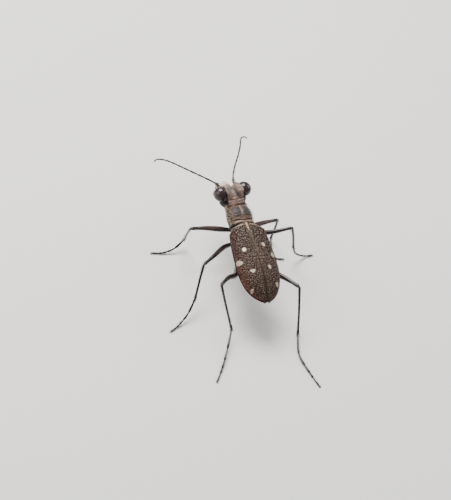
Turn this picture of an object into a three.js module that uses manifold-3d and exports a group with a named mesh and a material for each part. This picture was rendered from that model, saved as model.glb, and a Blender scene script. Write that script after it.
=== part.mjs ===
// A slender mud-bank tiger beetle at life size, 13 mm from the lip to the tip of the wing cases.
// Millimetres, +Z up. The head points to -Y and the beetle's own left is +X.
// The trunk is drawn in its own frame: x across, y back from the wing-case base, z up from its ridge.

import * as THREE from 'three';
import { mergeVertices } from 'three/addons/utils/BufferGeometryUtils.js';
import Module from 'manifold-3d';

const wasm = await Module();
wasm.setup();

// Room kept between neighbouring plates and segments, and the least radius of a leg or feeler.
const GAP = 0.3;
const LIMB_RADIUS = 0.25;

// Stance: height of the wing-case base over the floor, how far the trunk stands over to its right,
// and in degrees how far its front end is raised and how far the head turns left and tilts.
const BODY_HEIGHT = 5.7;
const BODY_SHIFT = 0.12;
const BODY_PITCH = 5.4;
const HEAD_TURN = 7;
const HEAD_TILT = 4;
const NECK = new THREE.Vector3(0, -2.3, -0.9);

// Wing cases.
const WING = {
  base: 0.18,
  length: 7.42,
  thickness: 0.5,
  squareness: 3.1,
  shoulderHalfWidth: 1.58,
  widestHalfWidth: 1.8,
  widestAt: 0.5,
  shoulderRound: 0.07,
  shoulderCut: 0.18,
  leastHalfWidth: 0.35,
  taperDelay: 3,
  taperFullness: 0.66,
  ridgeHeight: 0.16,
  crownAt: 0.4,
  baseDrop: 0.19,
  apexDrop: 1.25,
  apexDelay: 2.4,
};
const SCUTELLUM = {
  halfWidth: 0.42,
  tipHalfWidth: 0.06,
  front: 0.2,
  length: 0.75,
  thickness: 0.45,
  top: 0.06,
};

// Fore body.
const FORE_BODY_MIDDLE = -0.95;
const PROTHORAX = { front: -2.22, rear: -0.12, groove: 0.07 };
const HEAD = { front: -4.35, rear: -2.52 };
const EYE = {
  centre: new THREE.Vector3(1.13, -3.4, -0.22),
  radii: new THREE.Vector3(0.62, 0.65, 0.6),
  base: 0.76,
};
const ANTENNA = { root: new THREE.Vector3(0.68, -4.36, -0.62), length: 6.5, joints: 11, bead: 0.035 };
const PIT = { radius: 0.45, depth: 0.3 };
const LABRUM = { halfWidth: 0.38, front: -5.0, rear: -4.65, top: -0.86, thickness: 0.4, tooth: 0.09 };
const MANDIBLE = {
  radii: [0.24, 0.2, 0.06],
  path: [
    [0.58, -4.66, -1.62],
    [0.76, -4.95, -1.6],
    [0.55, -5.25, -1.52],
    [0.2, -5.42, -1.42],
  ],
};
const PALP = {
  radius: 0.2,
  swell: 0.04,
  path: [
    [0.25, -4.25, -2.38],
    [0.62, -4.55, -2.38],
    [0.68, -4.95, -2.36],
    [0.48, -5.3, -2.42],
  ],
};
const CHIN = { centre: [0, -4.1, -2.36], radii: [0.52, 0.5, 0.24] };

// Rear body.
const THORAX = { front: 0.18, rear: 3.15 };
const ABDOMEN = { front: 3.45, rear: 6.95, plates: 6, waist: 0.035, tailFrom: 0.8, tailLength: 0.22 };
const TRUNK_LEDGE = 15;
const TRUNK_SQUARENESS = 2.1;
const ANGLE_SLACK = 0.01;
const LEAST_EDGE = 0.003;

// Hip stumps, and the room that each femur takes beside the trunk.
const COXA = { radius: 0.36, inset: 0.55, lift: 0.75, neck: 0.5 };
const FEMUR_ROOM = { length: 2.6, radius: 0.63 };

// Hips on the beetle's left, and the lengths of the leg segments, for each pair of legs.
const HIPS = {
  front: new THREE.Vector3(0.6, -0.75, -2.2),
  mid: new THREE.Vector3(0.85, 0.6, -2.4),
  hind: new THREE.Vector3(0.95, 2.75, -2.45),
};
const SEGMENTS = {
  front: { femur: 3.65, tibia: 3.15, tarsus: 3.1 },
  mid: { femur: 3.89, tibia: 3.03, tarsus: 3.75 },
  hind: { femur: 4.7, tibia: 4.4, tarsus: 5.3 },
};

// Pose in degrees. Swing turns from straight ahead towards the leg's own outside, rise is above level.
const POSE = {
  front_left: { femur: [85, 4], tibia: [-18, -65], tarsus: [118, 98, 83] },
  front_right: { femur: [77, -2], tibia: [30, -77], tarsus: [195, 175, 106] },
  mid_left: { femur: [123.5, 3], tibia: [154.5, -43.9], tarsus: [140, 128, 122] },
  mid_right: { femur: [94.4, 28.1], tibia: [82.9, -72.1], tarsus: [63, 78, 82] },
  hind_left: { femur: [139, 21], tibia: [-148, -59], tarsus: [154, 151, 147] },
  hind_right: { femur: [151, 15], tibia: [177, -60], tarsus: [194, 170, 166] },
};
const ANTENNA_POSE = {
  left: { swing: [30, 54, 56, 52, 128], rise: [20, 13, 10, 8, -5] },
  right: { swing: [-8, 14, 36, 20, 53], rise: [12, 4, 1, 0, -3] },
};

// Joints of the legs. Spurs and claws taper to a small share of their radius.
const KNEE_RADIUS = 0.28;
const ANKLE_RADIUS = 0.27;
const POINT_TAPER = 0.85;
const SPUR = { back: 0.36, along: 0.12, aside: 0.82, radius: 0.14 };
const CLAW = { back: 0.12, length: 0.45, radius: 0.13, spread: 24, droop: -5 };

// Foot: share of each stretch of the tarsus, how far down each one comes, the beads of its joints,
// and the height of its middle line over the floor.
const TARSUS_SHARES = [0.37, 0.35, 0.28];
const TARSUS_DROPS = [0.58, 0.93, 1];
const TARSUS = { joints: 5, radius: 0.23, bead: 0.05, endRadius: 0.16, endFrom: 0.98 };
const SOLE_HEIGHT = 0.2;

function finish(colour, roughness, metalness) {
  return new THREE.MeshStandardMaterial({ color: colour, roughness, metalness });
}

const FINISH = {
  bronze: finish('#4a3b33', 0.5, 0.35),
  collar: finish('#5b463b', 0.45, 0.4),
  face: finish('#6a5146', 0.45, 0.4),
  belly: finish('#2a2626', 0.35, 0.45),
  eye: finish('#2a1f1f', 0.15, 0.0),
  lip: finish('#d9c3ac', 0.4, 0.0),
  jaw: finish('#4b2f22', 0.3, 0.0),
  leg: finish('#2b2220', 0.35, 0.3),
  feeler: finish('#2e2420', 0.4, 0.1),
};

// Smooth curve through [at, value] stations, level beyond the first and the last.
function profile(...stations) {
  const slope = (i) => {
    const before = stations[Math.max(i - 1, 0)];
    const after = stations[Math.min(i + 1, stations.length - 1)];
    return (after[1] - before[1]) / (after[0] - before[0]);
  };
  return (at) => {
    const t = THREE.MathUtils.clamp(at, stations[0][0], stations.at(-1)[0]);
    const i = Math.max(stations.findIndex((station) => station[0] >= t) - 1, 0);
    const span = stations[i + 1][0] - stations[i][0];
    const s = (t - stations[i][0]) / span;
    const rise = (stations[i + 1][1] - stations[i][1]) * (3 - 2 * s) * s * s;
    const leaving = slope(i) * span * s * (1 - s) ** 2;
    const arriving = slope(i + 1) * span * s * s * (1 - s);
    return stations[i][1] + rise + leaving - arriving;
  };
}

// Unit vector in the beetle's stance frame. Side is +1 on its left and -1 on its right.
function direction(swing, rise, side) {
  const turn = THREE.MathUtils.degToRad(swing);
  const lift = THREE.MathUtils.degToRad(rise);
  const level = Math.cos(lift);
  return new THREE.Vector3(side * Math.sin(turn) * level, -Math.cos(turn) * level, Math.sin(lift));
}

function along(start, heading, distance) {
  return start.clone().addScaledVector(heading, distance);
}

function mirrored(point, side) {
  return new THREE.Vector3(point.x * side, point.y, point.z);
}

// Radius of a spur or claw from its root to its point.
function pointed(radius) {
  return (t) => radius * (1 - POINT_TAPER * t);
}

// A closed geometry as a solid that can be joined and cut.
function solid(geometry) {
  const bare = geometry.clone();
  bare.deleteAttribute('normal');
  bare.deleteAttribute('uv');
  const welded = mergeVertices(bare, 1e-4);
  return new wasm.Manifold(
    new wasm.Mesh({
      numProp: 3,
      vertProperties: new Float32Array(welded.attributes.position.array),
      triVerts: new Uint32Array(welded.index.array),
    }),
  );
}

function joined(pieces) {
  return pieces.reduce((whole, piece) => whole.add(piece));
}

// The largest closed surface of a solid, with its slivers taken up, as a named mesh.
function mesh(name, shape, material) {
  const bodies = shape.decompose();
  const body = bodies.reduce((best, next) => (next.volume() > best.volume() ? next : best));
  const { vertProperties, triVerts } = body.asOriginal().simplify(LEAST_EDGE).getMesh();
  const geometry = new THREE.BufferGeometry();
  geometry.setAttribute('position', new THREE.BufferAttribute(vertProperties, 3));
  geometry.setIndex(new THREE.BufferAttribute(triVerts, 1));
  geometry.computeVertexNormals();
  const result = new THREE.Mesh(geometry, material);
  result.name = name;
  return result;
}

// A closed body along Y. The skin gives x and z for a share of the length and an angle round it,
// and the middle gives the height of the middle of each section.
function loft({ front, rear, rings, sides, skin, middle }) {
  const geometry = new THREE.CylinderGeometry(1, 1, 1, sides, rings);
  const place = geometry.attributes.position;
  for (let i = 0; i < place.count; i++) {
    const t = THREE.MathUtils.clamp(place.getY(i) + 0.5, 0, 1);
    const reach = Math.hypot(place.getX(i), place.getZ(i));
    const angle = Math.atan2(place.getZ(i), place.getX(i));
    const [x, z] = skin(t, angle);
    const centre = middle(t);
    place.setXYZ(i, x * reach, front + t * (rear - front), centre + (z - centre) * reach);
  }
  return solid(geometry);
}

// A rounded tube along a smooth curve through the points, with flat ends square to it.
function tube(points, radius, rings, sides) {
  const curve = new THREE.CatmullRomCurve3(points);
  const frames = curve.computeFrenetFrames(rings);
  const geometry = new THREE.CylinderGeometry(1, 1, 1, sides, rings);
  const place = geometry.attributes.position;
  for (let i = 0; i < place.count; i++) {
    const ring = Math.round((place.getY(i) + 0.5) * rings);
    const size = radius(ring / rings);
    const spot = curve.getPointAt(ring / rings);
    spot.addScaledVector(frames.normals[ring], place.getX(i) * size);
    spot.addScaledVector(frames.binormals[ring], -place.getZ(i) * size);
    place.setXYZ(i, spot.x, spot.y, spot.z);
  }
  return solid(geometry);
}

function ball(centre, radius) {
  const geometry = new THREE.SphereGeometry(radius, 8, 6);
  geometry.translate(centre.x, centre.y, centre.z);
  return solid(geometry);
}

function egg(centre, radii) {
  const geometry = new THREE.SphereGeometry(1, 20, 14);
  geometry.rotateZ(Math.PI / 2);
  geometry.scale(radii.x, radii.y, radii.z);
  geometry.translate(centre.x, centre.y, centre.z);
  return solid(geometry);
}

// Everything beyond a plane through the point, out to a reach that clears one segment.
function beyond(point, heading, reach = 9) {
  const geometry = new THREE.BoxGeometry(2 * reach, 2 * reach, reach);
  geometry.translate(0, 0, reach / 2);
  geometry.applyQuaternion(new THREE.Quaternion().setFromUnitVectors(new THREE.Vector3(0, 0, 1), heading));
  geometry.translate(point.x, point.y, point.z);
  return solid(geometry);
}

// Section of a plate or capsule: squarer than an ellipse, with its own height above and below the middle.
function rounded(angle, halfWidth, up, down, squareness = 2.5) {
  const c = Math.cos(angle);
  const s = Math.sin(angle);
  const x = halfWidth * Math.sign(c) * Math.abs(c) ** (2 / squareness);
  const z = (s > 0 ? up : -down) * Math.abs(s) ** (2 / squareness);
  return [x, z];
}

// Shrinks a section towards each end so that a capsule closes in a rounded edge.
function rim(t, share, least) {
  const edge = Math.min(t, 1 - t) / share;
  return edge >= 1 ? 1 : least + (1 - least) * Math.sqrt(1 - (1 - edge) ** 2);
}

// Wing-case measures for a share v of the length, 0 at the base and 1 at the apex.
function wingHalfWidth(v) {
  const { shoulderHalfWidth, widestHalfWidth, widestAt, shoulderRound, shoulderCut } = WING;
  const { leastHalfWidth, taperDelay, taperFullness } = WING;
  const growth = Math.sin((Math.min(v / widestAt, 1) * Math.PI) / 2);
  const shoulder = 1 - shoulderCut * Math.max(1 - v / shoulderRound, 0) ** 2;
  const taper = Math.max((v - widestAt) / (1 - widestAt), 0);
  const side = shoulderHalfWidth + (widestHalfWidth - shoulderHalfWidth) * growth;
  return Math.max(side * shoulder * (1 - taper ** taperDelay) ** taperFullness, leastHalfWidth);
}

function wingRidge(v) {
  const { ridgeHeight, crownAt, baseDrop, apexDrop, apexDelay } = WING;
  if (v < crownAt) {
    return ridgeHeight - baseDrop * (1 - v / crownAt) ** 2;
  }
  return ridgeHeight - apexDrop * ((v - crownAt) / (1 - crownAt)) ** apexDelay;
}

const wingMargin = profile([0, -0.55], [0.3, -0.87], [0.75, -1.22], [1, -1.3]);

function wingInnerHalfWidth(v) {
  const across = wingHalfWidth(v) - GAP / 2;
  return GAP / 2 + Math.max(across - WING.thickness, 0.6 * across);
}

function wingInnerRidge(v) {
  const height = wingRidge(v) - wingMargin(v);
  return wingMargin(v) + Math.max(height - WING.thickness, 0.45 * height);
}

// One wing case: a shell from the seam down the middle to its outer margin, with its rows closer
// together towards the apex.
function wingCase(side) {
  const geometry = new THREE.BoxGeometry(1, 1, 1, 9, 18, 1);
  const place = geometry.attributes.position;
  for (let i = 0; i < place.count; i++) {
    const share = 0.5 + side * place.getX(i);
    const v = 1 - (0.5 - place.getY(i)) ** 1.4;
    const outer = place.getZ(i) > 0;
    const halfWidth = outer ? wingHalfWidth(v) : wingInnerHalfWidth(v);
    const height = (outer ? wingRidge(v) : wingInnerRidge(v)) - wingMargin(v);
    const bend = (share * Math.PI) / 2;
    const x = GAP / 2 + (halfWidth - GAP / 2) * Math.sin(bend) ** (2 / WING.squareness);
    const y = WING.base + v * (WING.length - (outer ? 0 : WING.thickness));
    const z = wingMargin(v) + height * Math.max(Math.cos(bend), 0) ** (2 / WING.squareness);
    place.setXYZ(i, side * x, y, z);
  }
  return solid(geometry);
}

// The triangle of the scutellum as a prism, grown by a margin all round.
function scutellumPrism(margin, bottom, top) {
  const { halfWidth, tipHalfWidth, front, length } = SCUTELLUM;
  const lean = (halfWidth - tipHalfWidth) / length;
  const wider = margin * Math.hypot(1, lean);
  const frontHalfWidth = halfWidth + lean * margin + wider;
  const rearHalfWidth = tipHalfWidth - lean * margin + wider;
  const shape = new THREE.Shape();
  shape.moveTo(-frontHalfWidth, front - margin);
  shape.lineTo(frontHalfWidth, front - margin);
  shape.lineTo(rearHalfWidth, front + length + margin);
  shape.lineTo(-rearHalfWidth, front + length + margin);
  const geometry = new THREE.ExtrudeGeometry(shape, { depth: top - bottom, bevelEnabled: false });
  geometry.translate(0, 0, bottom);
  return solid(geometry);
}

// Trunk under the wing cases: a belly as wide as their margins, a ledge below them, and a back inside them.
function trunkSkin(front, rear, bottom, fullness) {
  const ledge = THREE.MathUtils.degToRad(TRUNK_LEDGE);
  const level = (t) => wingMargin((front + t * (rear - front) - WING.base) / WING.length) - GAP;
  const skin = (t, angle) => {
    const y = front + t * (rear - front);
    const outerShare = (y - WING.base) / WING.length;
    const innerShare = Math.min((y - WING.base) / (WING.length - WING.thickness), 1);
    const size = fullness(t);
    const round = Math.asin(Math.sin(angle));
    const sign = Math.cos(angle) < 0 ? -1 : 1;
    if (round < ledge - ANGLE_SLACK) {
      const outerHalfWidth = (wingHalfWidth(outerShare) - GAP) * size;
      const down = (level(t) - bottom(y)) * size;
      const [x, z] = rounded(Math.min(round, 0), outerHalfWidth, 0, down, TRUNK_SQUARENESS);
      return [sign * x, level(t) + z];
    }
    const climb = ((round - ledge) * (Math.PI / 2)) / (Math.PI / 2 - ledge);
    const innerHalfWidth = (wingInnerHalfWidth(innerShare) - GAP) * size;
    const up = (wingInnerRidge(innerShare) - GAP - level(t)) * size;
    const [x, z] = rounded(climb, innerHalfWidth, up, 0, TRUNK_SQUARENESS);
    return [sign * x, level(t) + z];
  };
  return { front, rear, skin, middle: level };
}

const bellyDepth = profile([0.18, -1.9], [1.2, -2.2], [3.0, -2.22], [5.0, -2.1], [6.95, -1.85]);

// A hip's stump on the trunk, which the room of its femur cuts square half a gap short of the hip.
function coxa(hip, outward) {
  const root = new THREE.Vector3(hip.x * COXA.inset, hip.y, hip.z + COXA.lift);
  const points = [root, along(hip, outward, -COXA.neck), hip];
  return tube(points, (t) => COXA.radius * (1.15 - 0.25 * t), 5, 10);
}

// The room that a femur takes beside the trunk, a gap wider than the femur all round.
function femurRoom(hip, outward) {
  const points = [along(hip, outward, -GAP / 2), along(hip, outward, FEMUR_ROOM.length)];
  return tube(points, () => FEMUR_ROOM.radius, 1, 14);
}

// Section of the prothorax or the head, which share the height of their middle.
function capsuleSection(halfWidth, top, bottom, fullness) {
  return (t, angle) => {
    const size = fullness(t);
    const up = (top(t) - FORE_BODY_MIDDLE) * size;
    const down = (FORE_BODY_MIDDLE - bottom(t)) * size;
    const [x, z] = rounded(angle, halfWidth(t) * size, up, down);
    return [x, FORE_BODY_MIDDLE + z];
  };
}

// The stance holds the trunk, and the trunk holds the turned head.
const beetle = new THREE.Group();
const trunk = new THREE.Group();
trunk.position.set(-BODY_SHIFT, 0, BODY_HEIGHT);
trunk.rotation.x = THREE.MathUtils.degToRad(-BODY_PITCH);
beetle.add(trunk);
const head = new THREE.Group();
head.position.copy(NECK);
head.rotation.set(0, THREE.MathUtils.degToRad(HEAD_TILT), THREE.MathUtils.degToRad(HEAD_TURN), 'ZXY');
trunk.add(head);
beetle.updateMatrixWorld(true);

function inTrunk(point) {
  return trunk.worldToLocal(point.clone());
}

function headingInTrunk(heading) {
  return heading.clone().transformDirection(trunk.matrixWorld.clone().invert());
}

function headingInHead(heading) {
  return heading.clone().transformDirection(head.matrixWorld.clone().invert());
}

const SIDES = { left: 1, right: -1 };

// Joints of one leg in the stance frame, from the hip to the tip of the foot.
function legJoints(pair, sideName) {
  const side = SIDES[sideName];
  const pose = POSE[`${pair}_${sideName}`];
  const lengths = SEGMENTS[pair];
  const hip = trunk.localToWorld(mirrored(HIPS[pair], side));
  const femurHeading = direction(...pose.femur, side);
  const tibiaHeading = direction(...pose.tibia, side);
  const knee = along(hip, femurHeading, lengths.femur);
  const ankle = along(knee, tibiaHeading, lengths.tibia);
  const toes = [];
  let last = ankle;
  pose.tarsus.forEach((swing, i) => {
    const height = SOLE_HEIGHT + (ankle.z - SOLE_HEIGHT) * (1 - TARSUS_DROPS[i]);
    const stretch = lengths.tarsus * TARSUS_SHARES[i];
    const level = Math.sqrt(stretch ** 2 - (last.z - height) ** 2);
    last = along(last, direction(swing, 0, side), level).setZ(height);
    toes.push(last);
  });
  return { side, hip, knee, ankle, toes, femurHeading, tibiaHeading, footSwing: pose.tarsus.at(-1) };
}

// Splits a bent joint with a thin cut along the plane that halves its angle.
function parted(upper, lower, joint, upperHeading, lowerHeading) {
  const halving = upperHeading.clone().add(lowerHeading).normalize();
  const back = halving.clone().negate();
  return [
    upper.subtract(beyond(along(joint, halving, -GAP / 2), halving)),
    lower.subtract(beyond(along(joint, halving, GAP / 2), back)),
  ];
}

function femurShape({ hip, knee, femurHeading }) {
  const start = along(hip, femurHeading, GAP / 2);
  const radius = profile([0, 0.27], [0.1, 0.25], [0.35, 0.32], [0.75, 0.28], [1, 0.25]);
  return tube([start, knee], radius, 9, 10).add(ball(knee, KNEE_RADIUS));
}

function tibiaShape({ knee, ankle }) {
  const radius = profile([0, 0.24], [0.5, LIMB_RADIUS], [1, 0.28]);
  return joined([tube([knee, ankle], radius, 4, 8), ball(knee, KNEE_RADIUS), ball(ankle, ANKLE_RADIUS)]);
}

// The pair of spurs at the end of a tibia, square to the bend of the ankle.
function spurs({ ankle, toes, tibiaHeading }) {
  const footHeading = toes[0].clone().sub(ankle).normalize();
  const aside = new THREE.Vector3().crossVectors(tibiaHeading, footHeading).normalize();
  const root = along(ankle, tibiaHeading, -SPUR.back);
  return [1, -1].map((way) => {
    const tip = along(along(ankle, tibiaHeading, SPUR.along), aside, way * SPUR.aside);
    tip.z = Math.max(tip.z, SPUR.radius);
    return tube([root, tip], pointed(SPUR.radius), 2, 6);
  });
}

// A foot of beaded joints with two claws, cut flat where it stands on the floor.
function tarsusShape({ side, ankle, toes, footSwing }) {
  const { joints, radius, bead, endRadius, endFrom } = TARSUS;
  const swell = (t) => (t > endFrom ? endRadius : radius + bead * ((t * joints) % 1));
  const pieces = [tube([ankle, ...toes], swell, 3 * joints, 8), ball(ankle, ANKLE_RADIUS)];
  const foot = toes.at(-1);
  for (const way of [-1, 1]) {
    const heading = direction(footSwing + way * CLAW.spread, CLAW.droop, side);
    const points = [along(foot, heading, -CLAW.back), along(foot, heading, CLAW.length)];
    pieces.push(tube(points, pointed(CLAW.radius), 1, 6));
  }
  const floor = beyond(new THREE.Vector3(foot.x, foot.y, 0), new THREE.Vector3(0, 0, -1));
  return joined(pieces).subtract(floor);
}

function addLeg(pair, sideName) {
  const leg = legJoints(pair, sideName);
  const footHeading = leg.toes[0].clone().sub(leg.ankle).normalize();
  const { knee, ankle, femurHeading, tibiaHeading } = leg;
  const [femur, shin] = parted(femurShape(leg), tibiaShape(leg), knee, femurHeading, tibiaHeading);
  const [tibia, tarsus] = parted(shin, tarsusShape(leg), ankle, tibiaHeading, footHeading);
  const name = `${pair}_${sideName}`;
  beetle.add(mesh(`${name}_femur`, femur, FINISH.leg));
  beetle.add(mesh(`${name}_tibia`, joined([tibia, ...spurs(leg)]), FINISH.leg));
  beetle.add(mesh(`${name}_tarsus`, tarsus, FINISH.leg));
}

// One pair of hips in the trunk's frame: each joint and the way its femur leaves it.
function hips(pair) {
  return Object.keys(SIDES).map((sideName) => {
    const leg = legJoints(pair, sideName);
    return { hip: inTrunk(leg.hip), outward: headingInTrunk(leg.femurHeading) };
  });
}

// Adds the stumps that a plate carries, then cuts it clear of the femora that pass it.
function withHips(plate, carried, passing) {
  const whole = joined([plate, ...carried.map(({ hip, outward }) => coxa(hip, outward))]);
  return passing.reduce((rest, { hip, outward }) => rest.subtract(femurRoom(hip, outward)), whole);
}

function addProthorax() {
  const frontRim = { halfWidth: [0.07, 1.02], top: [0.07, -0.24] };
  const rearRim = { halfWidth: [0.93, 1.16], top: [0.93, -0.18] };
  const sides = [[0.2, 0.96], [0.5, 1.12], [0.82, 1.04]];
  const back = [[0.2, -0.32], [0.5, -0.1], [0.82, -0.28]];
  const halfWidth = profile([0, 0.92], frontRim.halfWidth, ...sides, rearRim.halfWidth, [1, 1.08]);
  const top = profile([0, -0.34], frontRim.top, ...back, rearRim.top, [1, -0.26]);
  const bottom = profile([0, -1.6], [0.5, -1.85], [1, -1.75]);
  const section = capsuleSection(halfWidth, top, bottom, (t) => rim(t, 0.06, 0.85));
  const skin = (t, angle) => {
    const [x, z] = section(t, angle);
    const isSeam = z > FORE_BODY_MIDDLE && Math.abs(x) < 0.05;
    return [x, isSeam ? z - PROTHORAX.groove * Math.sin(Math.PI * t) : z];
  };
  const shield = loft({ ...PROTHORAX, rings: 14, sides: 24, skin, middle: () => FORE_BODY_MIDDLE });
  trunk.add(mesh('prothorax', withHips(shield, hips('front'), hips('front')), FINISH.collar));
}

function addThorax() {
  const shape = trunkSkin(THORAX.front, THORAX.rear, bellyDepth, (t) => rim(t, 0.05, 0.9));
  const hull = loft({ ...shape, rings: 9, sides: 24 });
  const rearHips = [...hips('mid'), ...hips('hind')];
  trunk.add(mesh('thorax', withHips(hull, rearHips, rearHips), FINISH.belly));
}

function addAbdomen() {
  const { plates, waist, tailFrom, tailLength } = ABDOMEN;
  const fullness = (t) => {
    const plate = 1 - waist * (1 - Math.sin(Math.PI * ((t * plates) % 1)));
    const tail = Math.sqrt(1 - (Math.max(t - tailFrom, 0) / tailLength) ** 2);
    return plate * tail;
  };
  const shape = trunkSkin(ABDOMEN.front, ABDOMEN.rear, bellyDepth, fullness);
  const hull = loft({ ...shape, rings: 3 * plates, sides: 24 });
  trunk.add(mesh('abdomen', withHips(hull, [], hips('hind')), FINISH.belly));
}

function addWingCases() {
  const notch = scutellumPrism(GAP, -1.2, 1);
  for (const [sideName, side] of Object.entries(SIDES)) {
    trunk.add(mesh(`wing_case_${sideName}`, wingCase(side).subtract(notch), FINISH.bronze));
  }
  const { top, thickness } = SCUTELLUM;
  trunk.add(mesh('scutellum', scutellumPrism(0, top - thickness, top), FINISH.bronze));
}

// Roots of the feelers in the head's frame, and the heading in which each one leaves it.
function antennaRoot(side) {
  return mirrored(ANTENNA.root, side).sub(NECK);
}

function antennaHeading(sideName) {
  const pose = ANTENNA_POSE[sideName];
  return direction(pose.swing[0], pose.rise[0], SIDES[sideName]);
}

// The outer part of an eye-shaped egg, from a flat base out.
function eyeCap(side, margin) {
  const base = new THREE.Vector3(side * (EYE.base - margin), 0, 0);
  const whole = egg(mirrored(EYE.centre, side), EYE.radii.clone().addScalar(margin));
  return whole.intersect(beyond(base, new THREE.Vector3(side, 0, 0)));
}

// A named mesh of a shape drawn in the trunk's frame, hung on the head.
function hangOnHead(name, shape, material) {
  const result = mesh(name, shape, material);
  result.position.copy(NECK).negate();
  head.add(result);
}

function addHead() {
  const halfWidth = profile([0, 0.66], [0.12, 0.74], [0.3, 0.8], [0.52, 0.88], [0.8, 0.84], [1, 0.78]);
  const top = profile([0, -0.7], [0.15, -0.5], [0.32, -0.3], [0.55, -0.16], [0.8, -0.2], [1, -0.4]);
  const bottom = profile([0, -1.75], [0.3, -1.8], [0.7, -1.78], [1, -1.55]);
  const skin = capsuleSection(halfWidth, top, bottom, (t) => rim(t, 0.07, 0.8));
  let capsule = loft({ ...HEAD, rings: 14, sides: 24, skin, middle: () => FORE_BODY_MIDDLE });
  for (const [sideName, side] of Object.entries(SIDES)) {
    hangOnHead(`eye_${sideName}`, eyeCap(side, 0), FINISH.eye);
    const root = mirrored(ANTENNA.root, side);
    const heading = headingInHead(antennaHeading(sideName));
    const pit = tube([along(root, heading, -PIT.depth), along(root, heading, 1)], () => PIT.radius, 1, 12);
    capsule = capsule.subtract(eyeCap(side, GAP)).subtract(pit);
  }
  hangOnHead('head', capsule, FINISH.face);
}

// The upper lip, with a small tooth in the middle of its front edge.
function addLabrum() {
  const { halfWidth, front, rear, top, thickness, tooth } = LABRUM;
  const edge = front + 0.03;
  const shape = new THREE.Shape();
  shape.moveTo(halfWidth, rear);
  shape.bezierCurveTo(halfWidth, edge + 0.07, 0.6 * halfWidth, edge, tooth, edge);
  shape.lineTo(0, edge - tooth);
  shape.lineTo(-tooth, edge);
  shape.bezierCurveTo(-0.6 * halfWidth, edge, -halfWidth, edge + 0.07, -halfWidth, rear);
  const settings = { depth: thickness, bevelEnabled: false, curveSegments: 6 };
  const geometry = new THREE.ExtrudeGeometry(shape, settings);
  geometry.translate(0, 0, top - thickness);
  hangOnHead('labrum', solid(geometry), FINISH.lip);
}

function pathOnSide(path, side) {
  return path.map(([x, y, z]) => new THREE.Vector3(side * x, y, z));
}

function addMandibles() {
  const [root, middle, tip] = MANDIBLE.radii;
  const radius = profile([0, root], [0.5, middle], [1, tip]);
  for (const [sideName, side] of Object.entries(SIDES)) {
    hangOnHead(`mandible_${sideName}`, tube(pathOnSide(MANDIBLE.path, side), radius, 8, 8), FINISH.jaw);
  }
}

// The chin plate with a palp of beaded joints on each side.
function addPalps() {
  const plate = new THREE.SphereGeometry(1, 14, 10);
  plate.scale(...CHIN.radii);
  plate.translate(...CHIN.centre);
  const bead = (t) => PALP.radius + PALP.swell * Math.abs(Math.sin(4 * Math.PI * t)) - 0.06 * t;
  const palps = Object.values(SIDES).map((side) => tube(pathOnSide(PALP.path, side), bead, 12, 8));
  hangOnHead('palps', joined([solid(plate), ...palps]), FINISH.jaw);
}

// A feeler of eleven beads, thick at its root and fine at its tip.
function addAntenna(sideName) {
  const side = SIDES[sideName];
  const pose = ANTENNA_POSE[sideName];
  const stops = [0, 0.1, 0.4, 0.7, 1];
  const swing = profile(...stops.map((stop, i) => [stop, pose.swing[i]]));
  const rise = profile(...stops.map((stop, i) => [stop, pose.rise[i]]));
  const steps = 3 * ANTENNA.joints;
  const points = [head.localToWorld(antennaRoot(side))];
  for (let i = 0; i < steps; i++) {
    const t = (i + 0.5) / steps;
    points.push(along(points.at(-1), direction(swing(t), rise(t), side), ANTENNA.length / steps));
  }
  const taper = profile([0, 0.23], [0.8, 0.23], [1, 0.1]);
  const radius = (t) => taper(t) + ANTENNA.bead * ((t * ANTENNA.joints) % 1);
  beetle.add(mesh(`antenna_${sideName}`, tube(points, radius, steps, 8), FINISH.feeler));
}

addProthorax();
addThorax();
addAbdomen();
addWingCases();
addHead();
addLabrum();
addMandibles();
addPalps();
for (const sideName of Object.keys(SIDES)) {
  addAntenna(sideName);
  for (const pair of Object.keys(HIPS)) {
    addLeg(pair, sideName);
  }
}

// The origin is on the floor under the middle of the whole stance.
const part = new THREE.Group();
part.add(beetle);
const extent = new THREE.Box3().setFromObject(part, true);
const middle = extent.getCenter(new THREE.Vector3());
beetle.position.set(-middle.x, -middle.y, -extent.min.z);

export default part;
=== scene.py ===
"""A slender mud-bank tiger beetle at life size, dressed over its plain solids."""

import math

import bmesh
import bpy
import numpy as np
from mathutils import Matrix, Vector


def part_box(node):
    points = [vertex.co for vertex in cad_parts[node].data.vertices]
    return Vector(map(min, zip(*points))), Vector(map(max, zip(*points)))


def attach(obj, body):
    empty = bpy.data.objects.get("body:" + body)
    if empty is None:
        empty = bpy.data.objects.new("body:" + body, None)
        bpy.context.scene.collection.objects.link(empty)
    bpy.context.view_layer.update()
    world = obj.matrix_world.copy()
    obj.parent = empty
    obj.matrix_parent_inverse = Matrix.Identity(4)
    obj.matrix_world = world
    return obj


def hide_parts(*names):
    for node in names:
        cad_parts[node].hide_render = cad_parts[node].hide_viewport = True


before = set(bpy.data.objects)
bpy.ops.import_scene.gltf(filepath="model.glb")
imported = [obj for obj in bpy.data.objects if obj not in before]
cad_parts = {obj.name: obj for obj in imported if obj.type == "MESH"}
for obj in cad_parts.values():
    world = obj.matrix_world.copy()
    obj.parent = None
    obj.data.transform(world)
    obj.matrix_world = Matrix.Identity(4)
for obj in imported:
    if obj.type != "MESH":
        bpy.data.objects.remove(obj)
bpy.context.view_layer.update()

# Places are in millimetres, in the beetle's own stance: x to its left, y back, z up from the floor.
# The trunk has a frame of its own: x across, y back from the wing-case base, z up from its ridge.
MM = 0.001
BODY_HEIGHT = 5.7
BODY_SHIFT = 0.12
BODY_PITCH = 5.4
HEAD_TURN = 7
HEAD_TILT = 4
NECK = Vector((0, -2.3, -0.9))


def turned_by(degrees, axis):
    return Matrix.Rotation(math.radians(degrees), 4, axis)


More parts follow.
